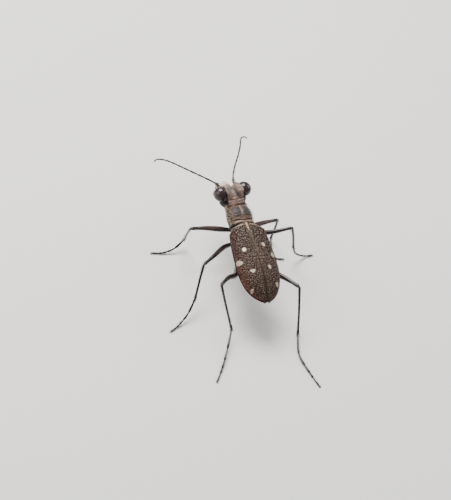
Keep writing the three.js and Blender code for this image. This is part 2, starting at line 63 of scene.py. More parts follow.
TRUNK = Matrix.Translation((-BODY_SHIFT, 0, BODY_HEIGHT)) @ turned_by(-BODY_PITCH, "X")
HEAD_TURNED = turned_by(HEAD_TURN, "Z") @ turned_by(HEAD_TILT, "Y")
HEAD = TRUNK @ (Matrix.Translation(NECK) @ HEAD_TURNED @ Matrix.Translation(-NECK))
STANCE = Matrix.Identity(4)

SIDES = {"left": 1, "right": -1}


def mirrored(place, side):
    """A place given for the left, moved to the side that is asked for."""
    return Vector((side * place[0], place[1], place[2]))


def link(name, data):
    """Adds an object with these data to the scene."""
    thing = bpy.data.objects.new(name, data)
    bpy.context.collection.objects.link(thing)
    return thing


def floor_offset():
    """How far the solids' stance is moved to bring the middle of its box over the origin."""
    half_width, tip_half_width, front, rear, bottom, top = 0.42, 0.06, 0.2, 0.95, -0.39, 0.06
    outline = [(-half_width, front), (half_width, front), (tip_half_width, rear), (-tip_half_width, rear)]
    corners = [TRUNK @ Vector((x, y, z)) for x, y in outline for z in (bottom, top)]
    low = Vector([min(corner[axis] for corner in corners) for axis in range(3)])
    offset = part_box("scutellum")[0] / MM - low
    return Vector((offset.x, offset.y, 0))


WORLD = Matrix.Scale(MM, 4) @ Matrix.Translation(floor_offset())

# ---- camera ----

VIEW_CENTRE = Vector((0, 0, 5.685))
VIEW_BACK = Vector((0.3699, 0.6023, 0.7074))
VIEW_UP = Vector((-0.0755, -0.7394, 0.669))
VIEW_DISTANCE = 150
VIEW_LENS = 126.5
VIEW_RANGE = (0.01, 10)
AIM_RIGHT = -0.0108
AIM_UP = -0.01625


def make_camera():
    """Looks down at the back from behind its left side, as far off as the photographer stood."""
    right = VIEW_UP.cross(VIEW_BACK).normalized()
    place = VIEW_CENTRE + VIEW_BACK * VIEW_DISTANCE
    back = (VIEW_BACK - right * AIM_RIGHT - VIEW_UP * AIM_UP).normalized()
    right = VIEW_UP.cross(back).normalized()
    up = back.cross(right)
    data = bpy.data.cameras.new("camera")
    data.lens = VIEW_LENS
    data.clip_start, data.clip_end = VIEW_RANGE
    camera = link("camera", data)
    turned = Matrix((right, up, back)).transposed().to_4x4()
    camera.matrix_world = Matrix.Translation(WORLD @ place) @ turned
    bpy.context.scene.camera = camera


make_camera()

# ---- curves and shapes ----


def profile(*stations):
    """Smooth curve through [at, value] stations, level beyond the first and the last."""
    at = np.array([station[0] for station in stations], float)
    value = np.array([station[1] for station in stations], float)
    before = np.maximum(np.arange(len(at)) - 1, 0)
    after = np.minimum(np.arange(len(at)) + 1, len(at) - 1)
    slope = (value[after] - value[before]) / (at[after] - at[before])

    def read(share):
        t = np.clip(share, at[0], at[-1])
        i = np.clip(np.searchsorted(at, t) - 1, 0, len(at) - 2)
        span = at[i + 1] - at[i]
        s = (t - at[i]) / span
        rise = (value[i + 1] - value[i]) * (3 - 2 * s) * s * s
        leaving = slope[i] * span * s * (1 - s) ** 2
        arriving = slope[i + 1] * span * s * s * (1 - s)
        return value[i] + rise + leaving - arriving

    return read


def round_angles(sides):
    """Angles of the sides of a ring, in radians."""
    return np.arange(sides) * 2 * math.pi / sides


def polar_angles(rings):
    """Angles of rings from one pole of a ball to the other, one ring to a row."""
    return np.linspace(0.02, math.pi - 0.02, rings)[:, None]


def unit(rows):
    """Each row scaled to length one."""
    return rows / np.maximum(np.linalg.norm(rows, axis=-1, keepdims=True), 1e-9)


def bump_at(t, middle, width):
    """A soft bell of height one."""
    return np.exp(-(((t - middle) / width) ** 2))


def smooth_step(low, high, value):
    t = np.clip((value - low) / (high - low), 0, 1)
    return t * t * (3 - 2 * t)


def lattice_value(cell, seed):
    """A fixed draw between 0 and 1 for each whole-numbered cell."""
    mixed = cell[..., 0] * 127.1 + cell[..., 1] * 311.7 + cell[..., 2] * 74.7 + seed * 19.19
    return np.modf(np.abs(np.sin(mixed) * 43758.5453))[0]


def grain(points, size, seed):
    """Smooth lumps of about the given size, between -1 and 1."""
    place = np.asarray(points) / size
    base = np.floor(place)
    part = place - base
    part = part * part * (3 - 2 * part)
    total = np.zeros(place.shape[:-1])
    for corner in np.ndindex(2, 2, 2):
        weight = np.ones_like(total)
        for axis in range(3):
            weight = weight * (part[..., axis] if corner[axis] else 1 - part[..., axis])
        total += weight * lattice_value(base + np.array(corner), seed)
    return 2 * total - 1


DOT_JITTER = 0.42


def dots(across, along, spacing, seed):
    """Distance to the nearest of many scattered dots, in units of their spacing."""
    place = np.stack([across / spacing, along / spacing, np.zeros_like(across)], -1)
    base = np.floor(place)
    nearest = np.full(across.shape, 9.0)
    for step in np.ndindex(3, 3):
        cell = base + np.array([step[0] - 1, step[1] - 1, 0])
        staggered = 0.25 * (cell[..., 1] % 2 * 2 - 1)
        off_across = cell[..., 0] + 0.5 + DOT_JITTER * (2 * lattice_value(cell, seed) - 1) + staggered
        off_along = cell[..., 1] + 0.5 + DOT_JITTER * (2 * lattice_value(cell, seed + 7) - 1)
        nearest = np.minimum(nearest, np.hypot(off_across - place[..., 0], off_along - place[..., 1]))
    return nearest


class Path:
    """A smooth line through points, read by the share of its length."""

    def __init__(self, points, steps=40):
        points = [Vector(point) for point in points]
        ends = [points[0] * 2 - points[1], *points, points[-1] * 2 - points[-2]]
        line = []
        for i in range(1, len(ends) - 2):
            line += [self.between(*ends[i - 1 : i + 3], step / steps) for step in range(steps)]
        line.append(points[-1])
        self.line = np.array(line)
        lengths = np.linalg.norm(np.diff(self.line, axis=0), axis=1)
        self.reached = np.concatenate([[0], np.cumsum(lengths)])
        self.length = self.reached[-1]

    @staticmethod
    def between(a, b, c, d, share):
        """One stretch of a centripetal curve, from b to c."""
        ta = 0
        tb = ta + max((b - a).length, 1e-4) ** 0.5
        tc = tb + max((c - b).length, 1e-4) ** 0.5
        td = tc + max((d - c).length, 1e-4) ** 0.5
        t = tb + share * (tc - tb)
        ab = a.lerp(b, (t - ta) / (tb - ta))
        bc = b.lerp(c, (t - tb) / (tc - tb))
        cd = c.lerp(d, (t - tc) / (td - tc))
        abc = ab.lerp(bc, (t - ta) / (tc - ta))
        bcd = bc.lerp(cd, (t - tb) / (td - tb))
        return abc.lerp(bcd, (t - tb) / (tc - tb))

    def at(self, shares):
        wanted = np.asarray(shares) * self.length
        return np.stack([np.interp(wanted, self.reached, self.line[:, axis]) for axis in range(3)], -1)

    def frames(self, shares, up=(0, 0, 1)):
        """Places, headings, and the two directions square to each heading, turned as little as can be."""
        places = self.at(shares)
        headings = unit(self.at(np.minimum(shares + 0.01, 1)) - self.at(np.maximum(shares - 0.01, 0)))
        tops = np.empty_like(headings)
        top = np.array(up, float)
        for i, heading in enumerate(headings):
            top = top - heading * top.dot(heading)
            top /= np.linalg.norm(top)
            tops[i] = top
        return places, headings, tops, np.cross(headings, tops)


class Shape:
    """Closed skins gathered into one mesh, with values that the finish reads."""

    def __init__(self, rings=None, **values):
        self.points = []
        self.faces = []
        self.values = {}
        self.count = 0
        if rings is not None:
            self.add_rings(rings, **values)

    def add_rings(self, rings, **values):
        """A closed skin over rings of points, each end drawn together in its middle.

        Values are numbers, or rows of one number for each ring or each point, clipped to between 0 and 1.
        """
        count, sides = rings.shape[:2]
        for name in {**self.values, **values}:
            value = np.broadcast_to(np.clip(values.get(name, 0.0), 0, 1), (count, sides))
            value = np.concatenate([value.reshape(-1), [value[0].mean()], [value[-1].mean()]])
            self.values.setdefault(name, [np.zeros(self.count)]).append(value)
        row, column = np.meshgrid(np.arange(count - 1), np.arange(sides), indexing="ij")
        beside = (column + 1) % sides
        here, next_row = row * sides, (row + 1) * sides
        quads = np.stack([here + column, here + beside, next_row + beside, next_row + column], -1)
        faces = quads.reshape(-1, 4).tolist()
        first, last, end = count * sides, count * sides + 1, (count - 1) * sides
        faces += [(first, (i + 1) % sides, i) for i in range(sides)]
        faces += [(last, end + i, end + (i + 1) % sides) for i in range(sides)]
        self.faces += [tuple(corner + self.count for corner in face) for face in faces]
        self.points += [rings.reshape(-1, 3), rings[[0, -1]].mean(1)]
        self.count += count * sides + 2


def sweep(path, shares, radii, sides, up=(0, 0, 1), height=1.0):
    """Rings of points round a path. Height makes them taller or flatter than they are wide."""
    places, _, tops, across = path.frames(shares, up)
    radii = np.broadcast_to(radii, (len(shares),))
    tall = radii * height
    angles = round_angles(sides)
    aside = across[:, None] * (radii[:, None] * np.cos(angles))[..., None]
    return places[:, None] + aside + tops[:, None] * (tall[:, None] * np.sin(angles))[..., None]


def rounded_ends(shares, radii, share):
    """Draws the radii in at both ends, as a dome would."""
    edge = np.clip(np.minimum(shares, 1 - shares) / share, 0, 1)
    return radii * np.sqrt(np.maximum(1 - (1 - edge) ** 2, 0.0004))


def limb(shape, points, radius, rings, sides, up=(0, 0, 1), height=1.0, dome=0.04, **values):
    """A tapering rounded limb through points, whose radius is a number or a curve of its length."""
    path = Path(points)
    close = dome * np.linspace(0, 1, 5) ** 2
    shares = np.unique(np.concatenate([np.linspace(0, 1, rings), close, 1 - close]))
    radii = radius(shares) if callable(radius) else np.full(len(shares), radius)
    shape.add_rings(sweep(path, shares, rounded_ends(shares, radii, dome), sides, up, height), **values)


def egg(shape, centre, radii, rings, sides, **values):
    """An egg with its poles to the left and right."""
    polar = polar_angles(rings)
    around = round_angles(sides)
    parts = np.cos(polar) * np.ones(sides), np.sin(polar) * np.cos(around), np.sin(polar) * np.sin(around)
    shape.add_rings(np.stack([centre[i] + radii[i] * parts[i] for i in range(3)], -1), **values)


# ---- finishes ----


class Nodes:
    """Adds nodes to a material or a node group and hands back their sockets."""

    def __init__(self, tree):
        self.tree = tree

    def add(self, kind, inputs=(), **settings):
        node = self.tree.nodes.new(kind)
        for name, value in settings.items():
            setattr(node, name, value)
        for key, value in dict(inputs).items():
            self.feed(node.inputs[key], value)
        return node

    def feed(self, socket, value):
        if isinstance(value, bpy.types.NodeSocket):
            self.tree.links.new(value, socket)
        else:
            socket.default_value = value

    def math(self, operation, first, second):
        return self.add("ShaderNodeMath", {0: first, 1: second}, operation=operation).outputs[0]

    def mix(self, share, *hues):
        """Mixes two colours, each a socket or red, green and blue."""
        first, second = (hue if isinstance(hue, bpy.types.NodeSocket) else (*hue, 1) for hue in hues)
        return self.add("ShaderNodeMix", {0: share, 6: first, 7: second}, data_type="RGBA").outputs[2]

    def attribute(self, name, most=1.0):
        """An attribute of the mesh, scaled to the most that it may be."""
        value = self.add("ShaderNodeAttribute", attribute_name=name).outputs["Fac"]
        return value if most == 1 else self.math("MULTIPLY", value, most)

    def noise(self, place, scale, detail):
        inputs = {"Vector": place, "Scale": scale, "Detail": detail}
        return self.add("ShaderNodeTexNoise", inputs).outputs["Fac"]

    def stretched(self, place, scale):
        inputs = {"Vector": place, "Scale": scale}
        return self.add("ShaderNodeMapping", inputs).outputs["Vector"]

    def spread(self, value, **ends):
        """Maps a value from one range to another, each 0 to 1 unless told otherwise."""
        inputs = {name.replace("_", " "): end for name, end in ends.items()}
        return self.add("ShaderNodeMapRange", {"Value": value, **inputs}).outputs["Result"]


WRINKLE_STRETCH = (0.35, 1.0, 0.6)
GRAIN_SIZES = {"Pit Scale": 12.0, "Patch Scale": 1.5, "Wrinkle Scale": 20.0, "Wrinkle Share": 0.3}


def make_shell_grain():
    """Fine pits, soft patches and hair-thin wrinkles, for every plate of the shell."""
    tree = bpy.data.node_groups.new("shell grain", "ShaderNodeTree")
    for name, start in GRAIN_SIZES.items():
        tree.interface.new_socket(name, in_out="INPUT", socket_type="NodeSocketFloat").default_value = start
    for name in ("Height", "Patches"):
        tree.interface.new_socket(name, in_out="OUTPUT", socket_type="NodeSocketFloat")
    nodes = Nodes(tree)
    given = nodes.add("NodeGroupInput").outputs
    made = nodes.add("NodeGroupOutput").inputs
    place = nodes.stretched(nodes.add("ShaderNodeTexCoord").outputs["Object"], (1 / MM,) * 3)
    cells = nodes.add("ShaderNodeTexVoronoi", {"Vector": place, "Scale": given["Pit Scale"]})
    pits = nodes.spread(cells.outputs["Distance"], From_Min=0.1, From_Max=0.55)
    wrinkles = nodes.noise(nodes.stretched(place, WRINKLE_STRETCH), given["Wrinkle Scale"], 3.0)
    mixed = nodes.add("ShaderNodeMix", {0: given["Wrinkle Share"], 2: pits, 3: wrinkles}, data_type="FLOAT")
    nodes.feed(made["Height"], mixed.outputs[0])
    nodes.feed(made["Patches"], nodes.noise(place, given["Patch Scale"], 4.0))
    return tree


SHELL_GRAIN = make_shell_grain()


def make_finish(name, base, layers=(), roughness=None, grain=(), relief=0.001, shader=()):
    """A material of two base colours in soft patches, with layers over them.

    A layer has an attribute, the most that it may cover, and one colour, or two and what mixes them. The
    roughness has its least, its most and, unless the patches spread it, what does. Grain sizes come in the
    order of GRAIN_SIZES.
    """
    material = bpy.data.materials.new(name)
    material.use_nodes = True
    nodes = Nodes(material.node_tree)
    surface = nodes.tree.nodes["Principled BSDF"].inputs
    for socket, value in dict(shader).items():
        surface[socket].default_value = value
    shell = nodes.add("ShaderNodeGroup", dict(zip(GRAIN_SIZES, grain)), node_tree=SHELL_GRAIN).outputs
    inputs = {"Strength": 1.0, "Distance": relief * MM, "Height": shell["Height"]}
    nodes.feed(surface["Normal"], nodes.add("ShaderNodeBump", inputs).outputs["Normal"])

    def spread_by(name):
        return shell["Patches"] if name == "patches" else nodes.attribute(name)

    colour = nodes.mix(shell["Patches"], *base)
    for attribute, most, *shades in layers:
        shade = shades[0] if len(shades) == 1 else nodes.mix(spread_by(shades[2]), *shades[:2])
        colour = nodes.mix(nodes.attribute(attribute, most), colour, shade)
    nodes.feed(surface["Base Color"], colour)
    if roughness:
        least, most, name = (*roughness, "patches")[:3]
        nodes.feed(surface["Roughness"], nodes.spread(spread_by(name), To_Min=least, To_Max=most))
    return material


FINISHES = {
    "wing_case": make_finish(
        "dull bronze wing case",
        ((0.026, 0.016, 0.013), (0.066, 0.039, 0.031)),
        [
            ("flank", 0.85, (0.095, 0.030, 0.021)),
            ("olive", 0.7, (0.092, 0.067, 0.045)),
            # Painted light in the next layers: shade towards the front, glints on the granules, shade in the
            # pits, highlights on the raised edges, and shade on the rim and the fold.
            ("painted_front_shade", 0.7, (0.006, 0.005, 0.005)),
            ("glinting_granule", 1, (0.29, 0.225, 0.18), (0.30, 0.165, 0.125), "flank"),
            ("pit_shade", 0.95, (0.004, 0.003, 0.003)),
            ("painted_ridge_highlight", 0.9, (0.34, 0.24, 0.16)),
            ("edge", 0.9, (0.014, 0.009, 0.008)),
            ("spot", 1, (0.37, 0.33, 0.235), (0.48, 0.435, 0.32), "patches"),
        ],
        roughness=(0.30, 0.50),
        grain=(17.0, 1.6, 26.0, 0.35),
        relief=0.010,
        shader={"Metallic": 0.55, "Specular IOR Level": 0.1},
    ),
    "collar": make_finish(
        "coppery collar",
        ((0.058, 0.038, 0.029), (0.170, 0.115, 0.088)),
        [
            ("lobe", 0.9, (0.036, 0.033, 0.034)),
            ("groove", 0.9, (0.062, 0.022, 0.015)),
            ("pale", 1, (0.36, 0.25, 0.19)),
            ("edge", 1, (0.008, 0.007, 0.006)),
        ],
        roughness=(0.32, 0.52),
        grain=(20.0, 2.2, 18.0, 0.8),
        relief=0.010,
        shader={"Metallic": 0.2, "Specular IOR Level": 0.25},
    ),
    "face": make_finish(
        "coppery face",
        ((0.110, 0.070, 0.053), (0.285, 0.192, 0.146)),
        [
            ("lobe", 0.85, (0.050, 0.066, 0.062)),
            ("groove", 1, (0.060, 0.026, 0.018)),
            ("pale", 1, (0.34, 0.25, 0.20)),
            # Mostly painted shade: the lower sides, the cheeks and the creases at the eyes.
            ("edge", 1, (0.007, 0.006, 0.006)),
        ],
        roughness=(0.34, 0.55),
        grain=(22.0, 2.5, 22.0, 0.85),
        relief=0.008,
        shader={"Metallic": 0.3},
    ),
    "belly": make_finish(
        "glossy dark belly",
        ((0.022, 0.030, 0.034), (0.060, 0.070, 0.062)),
        [("groove", 1, (0.010, 0.010, 0.011))],
        roughness=(0.22, 0.38),
        grain=(16.0, 1.2, 16.0, 0.5),
        relief=0.004,
        shader={"Metallic": 0.55},
    ),
    "eye": make_finish(
        "polished eye",
        ((0.012, 0.005, 0.006), (0.028, 0.012, 0.013)),
        roughness=(0.2, 0.3),
        grain=(30.0, 1.4, 20.0, 0.0),
        relief=0.0015,
        shader={"Coat Weight": 0.35, "Coat Roughness": 0.12, "Specular IOR Level": 0.35},
    ),
    "lip": make_finish(
        "pale lip",
        ((0.52, 0.40, 0.31), (0.70, 0.58, 0.47)),
        [("edge", 1, (0.12, 0.06, 0.04))],
        roughness=(0.28, 0.42),
        grain=(14.0, 3.0, 12.0, 0.5),
        relief=0.002,
    ),
    "jaw": make_finish(
        "glossy jaw",
        ((0.045, 0.022, 0.014), (0.085, 0.040, 0.024)),
        [("pale", 1, (0.55, 0.44, 0.31))],
        roughness=(0.22, 0.34),
        grain=(18.0, 3.0, 16.0, 0.4),
        relief=0.002,
        shader={"Metallic": 0.1},
    ),
    "leg": make_finish(
        "glossy leg",
        ((0.003, 0.002, 0.002), (0.013, 0.007, 0.006)),
        # Pale gives the pale knees and feet, and the painted highlight along the tops of the thighs.
        [("pale", 1, (0.075, 0.048, 0.040))],
        roughness=(0.12, 0.26),
        grain=(22.0, 2.0, 20.0, 0.4),
        relief=0.003,
    ),
    "feeler": make_finish(
        "dark feeler",
        ((0.008, 0.006, 0.006), (0.026, 0.017, 0.015)),
        [("downy", 1, (0.026, 0.016, 0.012)), ("pale", 1, (0.12, 0.085, 0.065))],
        roughness=(0.3, 0.6, "downy"),
        grain=(30.0, 3.0, 30.0, 0.5),
        relief=0.003,
        shader={"Metallic": 0.1},
    ),
}
PALE_HAIR = make_finish("pale hair", ((0.50, 0.42, 0.33), (0.85, 0.79, 0.70)))
GOLDEN_HAIR = make_finish("golden hair", ((0.36, 0.27, 0.16), (0.72, 0.60, 0.40)))

# ---- bristles ----

HAIR_PATCH = 0.003
HAIR_SIDES = 5
HAIR_SEGMENTS = 3
HAIR_TIP = 0.15
HAIR_SUNK = 0.07
SKIN_HAIR_SUNK = 0.01
LOWEST_HAIR = 0.05


def make_bristle_tree():
    """Stands a bent, pointed bristle on each root, leaning along its lie."""
    tree = bpy.data.node_groups.new("bristles", "GeometryNodeTree")
    kinds = {"Roots": "Geometry", "Thickness": "Float", "Bend": "Float", "Spread": "Float"}
    for name, kind in {**kinds, "Seed": "Int", "Finish": "Material"}.items():
        tree.interface.new_socket(name, in_out="INPUT", socket_type=f"NodeSocket{kind}")
    tree.interface.new_socket("Bristles", in_out="OUTPUT", socket_type="NodeSocketGeometry")
    nodes = Nodes(tree)
    given = nodes.add("NodeGroupInput").outputs
    sizes = {"Radius Top": HAIR_TIP, "Radius Bottom": 1.0, "Depth": 1.0}
    sizes = {**sizes, "Vertices": HAIR_SIDES, "Side Segments": HAIR_SEGMENTS}
    cone = nodes.add("GeometryNodeMeshCone", sizes).outputs["Mesh"]
    place = nodes.add("GeometryNodeInputPosition").outputs[0]
    height = nodes.add("ShaderNodeSeparateXYZ", {0: place}).outputs["Z"]
    curved = nodes.math("MULTIPLY", nodes.math("POWER", height, 2.0), given["Bend"])
    curved = nodes.math("DIVIDE", curved, given["Thickness"])
    offset = nodes.add("ShaderNodeCombineXYZ", {"X": curved}).outputs[0]
    bent = nodes.add("GeometryNodeSetPosition", {"Geometry": cone, "Offset": offset}).outputs[0]

    def read(name, kind):
        node = nodes.add("GeometryNodeInputNamedAttribute", {"Name": name}, data_type=kind)
        return next(socket for socket in node.outputs if socket.enabled and socket.name == "Attribute")

    least = nodes.math("MULTIPLY", given["Spread"], -1.0)
    inputs = {0: least, 1: given["Spread"], "Seed": given["Seed"]}
    random = nodes.add("FunctionNodeRandomValue", inputs, data_type="FLOAT_VECTOR").outputs[0]
    lie = nodes.add("ShaderNodeVectorMath", {0: read("lie", "FLOAT_VECTOR"), 1: random}, operation="ADD")
    stood = nodes.add("FunctionNodeAlignRotationToVector", {"Vector": lie.outputs[0]}, axis="Z")
    inputs = {"Rotation": stood.outputs[0], "Vector": read("sweep", "FLOAT_VECTOR")}
    turned = nodes.add("FunctionNodeAlignRotationToVector", inputs, axis="X", pivot_axis="Z").outputs[0]
    size = read("size", "FLOAT")
    thick = nodes.math("MULTIPLY", size, given["Thickness"])
    scale = nodes.add("ShaderNodeCombineXYZ", {0: thick, 1: thick, 2: size}).outputs[0]
    inputs = {"Points": given["Roots"], "Instance": bent, "Rotation": turned, "Scale": scale}
    placed = nodes.add("GeometryNodeInstanceOnPoints", inputs).outputs[0]
    real = nodes.add("GeometryNodeRealizeInstances", {"Geometry": placed}).outputs[0]
    done = nodes.add("GeometryNodeSetMaterial", {"Geometry": real, "Material": given["Finish"]}).outputs[0]
    nodes.feed(nodes.add("NodeGroupOutput").inputs[0], done)
    return tree


BRISTLES = make_bristle_tree()


class Coat:
    """Roots of bristles: their lie, their tips' sweep, their length, and their home on the skin's unwrap."""

    def __init__(self, seed):
        self.draw = np.random.default_rng(seed)
        self.parts = []

    def add(self, roots, lies, sweeps, sizes, homes):
        self.parts.append([np.asarray(part, float) for part in (roots, lies, sweeps, sizes, homes)])

    def along_limb(self, path, radius, span, rows, count, lift, length, home):
        """Rows of bristles down a limb, leaning towards its end."""
        steps = np.linspace(*span, count)
        places, headings, tops, across = path.frames(steps)
        radii = radius(steps) if callable(radius) else np.full(count, radius)
        for row in range(rows):
            angle = 2 * math.pi * (row + 0.5) / rows + self.draw.normal(0, 0.12, count)
            out = across * np.cos(angle)[:, None] + tops * np.sin(angle)[:, None]
            slide = self.draw.uniform(-0.4, 0.4, count) * path.length * (span[1] - span[0]) / count
            roots = places + headings * slide[:, None] + out * (radii * (1 - HAIR_SUNK))[:, None]
            lies = out * lift + headings * (1 - lift)
            sizes = length * self.draw.uniform(0.75, 1.2, count)
            homes = np.stack([home[0] + steps * home[1], (angle / (2 * math.pi)) % 1], -1)
            clear = roots[:, 2] + np.minimum(lies[:, 2], 0) * sizes * 1.5 > LOWEST_HAIR
            self.add(roots[clear], lies[clear], headings[clear], sizes[clear], homes[clear])

    def over_skin(self, rings, chance, count, lie, length, home):
        """Bristles scattered over a skin of rings, thickest where their chance is greatest."""
        weight = np.clip(chance, 0, None).reshape(-1)
        picked = self.draw.choice(len(weight), count, replace=False, p=weight / weight.sum())
        normals = outward(rings).reshape(-1, 3)[picked]
        places = rings.reshape(-1, 3)[picked]
        row, column = np.divmod(picked, rings.shape[1])
        lies = normals * lie[0] + np.array(lie[1])
        sizes = length * self.draw.uniform(0.7, 1.25, count)
        homes = np.stack([home[0] + home[1] * row / rings.shape[0], column / rings.shape[1]], -1)
        sweeps = np.broadcast_to(np.array(lie[1], float), places.shape)
        self.add(places - normals * SKIN_HAIR_SUNK, lies, sweeps, sizes, homes)


def make_coat(name, coat, material, place=STANCE, *, thickness, bend, spread):
    """Grows a coat into one plain mesh, with each bristle's small patch on the skin's unwrap."""
    roots, lies, sweeps, sizes, homes = [np.concatenate(part) for part in zip(*coat.parts)]
    matrix = WORLD @ place
    turned = np.array(matrix.to_3x3() * (1 / MM))
    places = roots @ (turned * MM).T + np.array(matrix.translation)
    mesh = bpy.data.meshes.new(f"{name}_roots")
    mesh.from_pydata(places.tolist(), [], [])
    for value_name, values in (("lie", lies), ("sweep", sweeps)):
        attribute = mesh.attributes.new(value_name, "FLOAT_VECTOR", "POINT")
        attribute.data.foreach_set("vector", unit(values @ turned.T).ravel())
    mesh.attributes.new("size", "FLOAT", "POINT").data.foreach_set("value", sizes * MM)
    roots_object = link(f"{name}_roots", mesh)
    modifier = roots_object.modifiers.new("bristles", "NODES")
    modifier.node_group = BRISTLES
    given = {"Thickness": thickness, "Bend": bend, "Spread": spread, "Seed": 1, "Finish": material}
    for item in BRISTLES.interface.items_tree:
        if item.name in given:
            modifier[item.identifier] = given[item.name]
    evaluated = roots_object.evaluated_get(bpy.context.evaluated_depsgraph_get())
    grown = bpy.data.meshes.new_from_object(evaluated)
    bpy.data.objects.remove(roots_object)
    corners = np.empty(len(grown.loops), int)
    grown.loops.foreach_get("vertex_index", corners)
    each = len(grown.vertices) // len(roots)
    bristle, point = np.divmod(corners, each)
    spot = np.stack([point % HAIR_SIDES / HAIR_SIDES, point // HAIR_SIDES / (HAIR_SEGMENTS + 1)], -1)
    unwrap = homes[bristle] + HAIR_PATCH * (spot - 0.5)
    grown.uv_layers.new(name="OFBake").data.foreach_set("uv", unwrap.astype(np.float32).ravel())
    grown.polygons.foreach_set("use_smooth", np.ones(len(grown.polygons), bool))
    piece = link(name, grown)
    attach(piece, "root")


# ---- pieces ----


def make_piece(name, shape, slot, place=STANCE, replaced=None):
    """Makes one smooth mesh of a shape, with the finish of a slot.

    It replaces the solids that are given by name, or else the one that has its own name.
    """
    if replaced is None:
        replaced = [name]
    matrix = WORLD @ place
    turned = np.array(matrix.to_3x3())
    points = np.concatenate(shape.points) @ turned.T + np.array(matrix.translation)
    mesh = bpy.data.meshes.new(name)
    mesh.from_pydata(points.tolist(), [], shape.faces)
    for value_name, parts in shape.values.items():
        attribute = mesh.attributes.new(value_name, "FLOAT", "POINT")
        attribute.data.foreach_set("value", np.concatenate(parts).astype(np.float32))
    soft = bmesh.new()
    soft.from_mesh(mesh)
    bmesh.ops.recalc_face_normals(soft, faces=soft.faces)
    soft.to_mesh(mesh)
    soft.free()
    mesh.polygons.foreach_set("use_smooth", np.ones(len(mesh.polygons), bool))
    mesh.materials.append(FINISHES[slot])
    piece = link(name, mesh)
    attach(piece, "root")
    if replaced:
        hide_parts(*replaced)


# ---- wing cases ----

WING_BASE = 0.18
WING_LENGTH = 7.42
WING_SEAM = 0.012
WING_ROWS = 420
WING_ROW_BUNCHING = 1.25
WING_COLUMNS = 140
WING_LINING_COLUMNS = 22
WING_SKIN = 0.13
WING_BEND = 2 / 3.1
PIT_SPACING = 0.14
PIT_DEPTH = 0.026
GRANULE_SPACING = 0.155
GRANULE_HEIGHT = 0.028
BEAD_SPACING = 0.36
SHOULDER_SLANT = 0.42
wing_margin = profile((0, -0.55), (0.3, -0.87), (0.75, -1.22), (1, -1.3))


def wing_half_width(v):
    shoulder_half_width, widest_half_width, widest_at, tip_half_width = 1.58, 1.8, 0.5, 0.24
    growth = np.sin(np.minimum(v / widest_at, 1) * math.pi / 2)
    shoulder = 1 - 0.18 * np.maximum(1 - v / 0.07, 0) ** 2
    taper = np.maximum((v - widest_at) / (1 - widest_at), 0)
    side = shoulder_half_width + (widest_half_width - shoulder_half_width) * growth
    return np.maximum(side * shoulder * (1 - taper**3) ** 0.66, tip_half_width)


def wing_ridge(v):
    crown, crown_at, front_low, rear_low = 0.16, 0.4, 0.19, 1.25
    front_drop = front_low * np.maximum(1 - v / crown_at, 0) ** 2
    rear_drop = rear_low * (np.maximum(v - crown_at, 0) / (1 - crown_at)) ** 2.4
    return crown - front_drop - rear_drop


def wing_section(v, share, inset=0.0):
    """Points of a wing case from its seam at share 0 to its margin at share 1, drawn in by an inset."""
    bend = share * math.pi / 2
    margin = wing_margin(v)
    half_width = np.maximum(wing_half_width(v) - inset, 0.5 * wing_half_width(v))
    height = wing_ridge(v) - margin
    height = np.maximum(height - inset, 0.4 * height)
    x = WING_SEAM + (half_width - WING_SEAM) * np.sin(bend) ** WING_BEND
    z = margin + height * np.maximum(np.cos(bend), 0) ** WING_BEND
    drawn_back = SHOULDER_SLANT * (x / wing_half_width(v)) ** 2.2 * np.maximum(1 - v / 0.3, 0) ** 1.5
    return np.stack([x, WING_BASE + v * WING_LENGTH + drawn_back, z], -1)


# Pale spots of each wing case, in millimetres and degrees: how far back, how far from the seam, half its
# depth, half its breadth, how much its breadth slants back, how straight its front is cut, and its paleness.
SPOTS = {
    "left": [
        (2.77, 1.05, 0.19, 0.18, 0, 0.0, 1.0),
        (3.78, 1.90, 0.22, 0.45, -31, 0.0, 1.0),
        (4.83, 0.85, 0.25, 0.26, 0, 0.9, 1.0),
        (6.41, 1.29, 0.15, 0.22, 14, 0.0, 0.6),
    ],
    "right": [
        (2.41, 0.77, 0.20, 0.15, 0, 0.0, 1.0),
        (3.48, 1.37, 0.24, 0.19, 12, 0.0, 0.9),
        (4.62, 0.70, 0.26, 0.16, 0, 0.5, 1.0),
        (6.16, 1.11, 0.19, 0.19, 10, 0.0, 0.75),
    ],
}


def spot_mask(side_name, along, across):
    """Where a wing case is pale, with slightly uneven edges."""
    wobble = grain(np.stack([across, along, np.zeros_like(along)], -1), 0.15, 3)
    mask = np.zeros_like(along)
    for back, middle, half_depth, half_breadth, slant, cut, paleness in SPOTS[side_name]:
        turn = math.radians(slant)
        behind = (along - back) * math.cos(turn) - (across - middle) * math.sin(turn)
        beside = (along - back) * math.sin(turn) + (across - middle) * math.cos(turn)
        behind = np.where(behind < 0, behind * (1 + 2 * cut), behind)
        narrowed = half_breadth * (1 - 0.55 * cut * np.clip(behind / half_depth, 0, 1))
        reach = np.hypot(behind / half_depth, beside / narrowed) + 0.1 * wobble
        mask = np.maximum(mask, paleness * (1 - smooth_step(0.86, 1.08, reach)))
    return mask


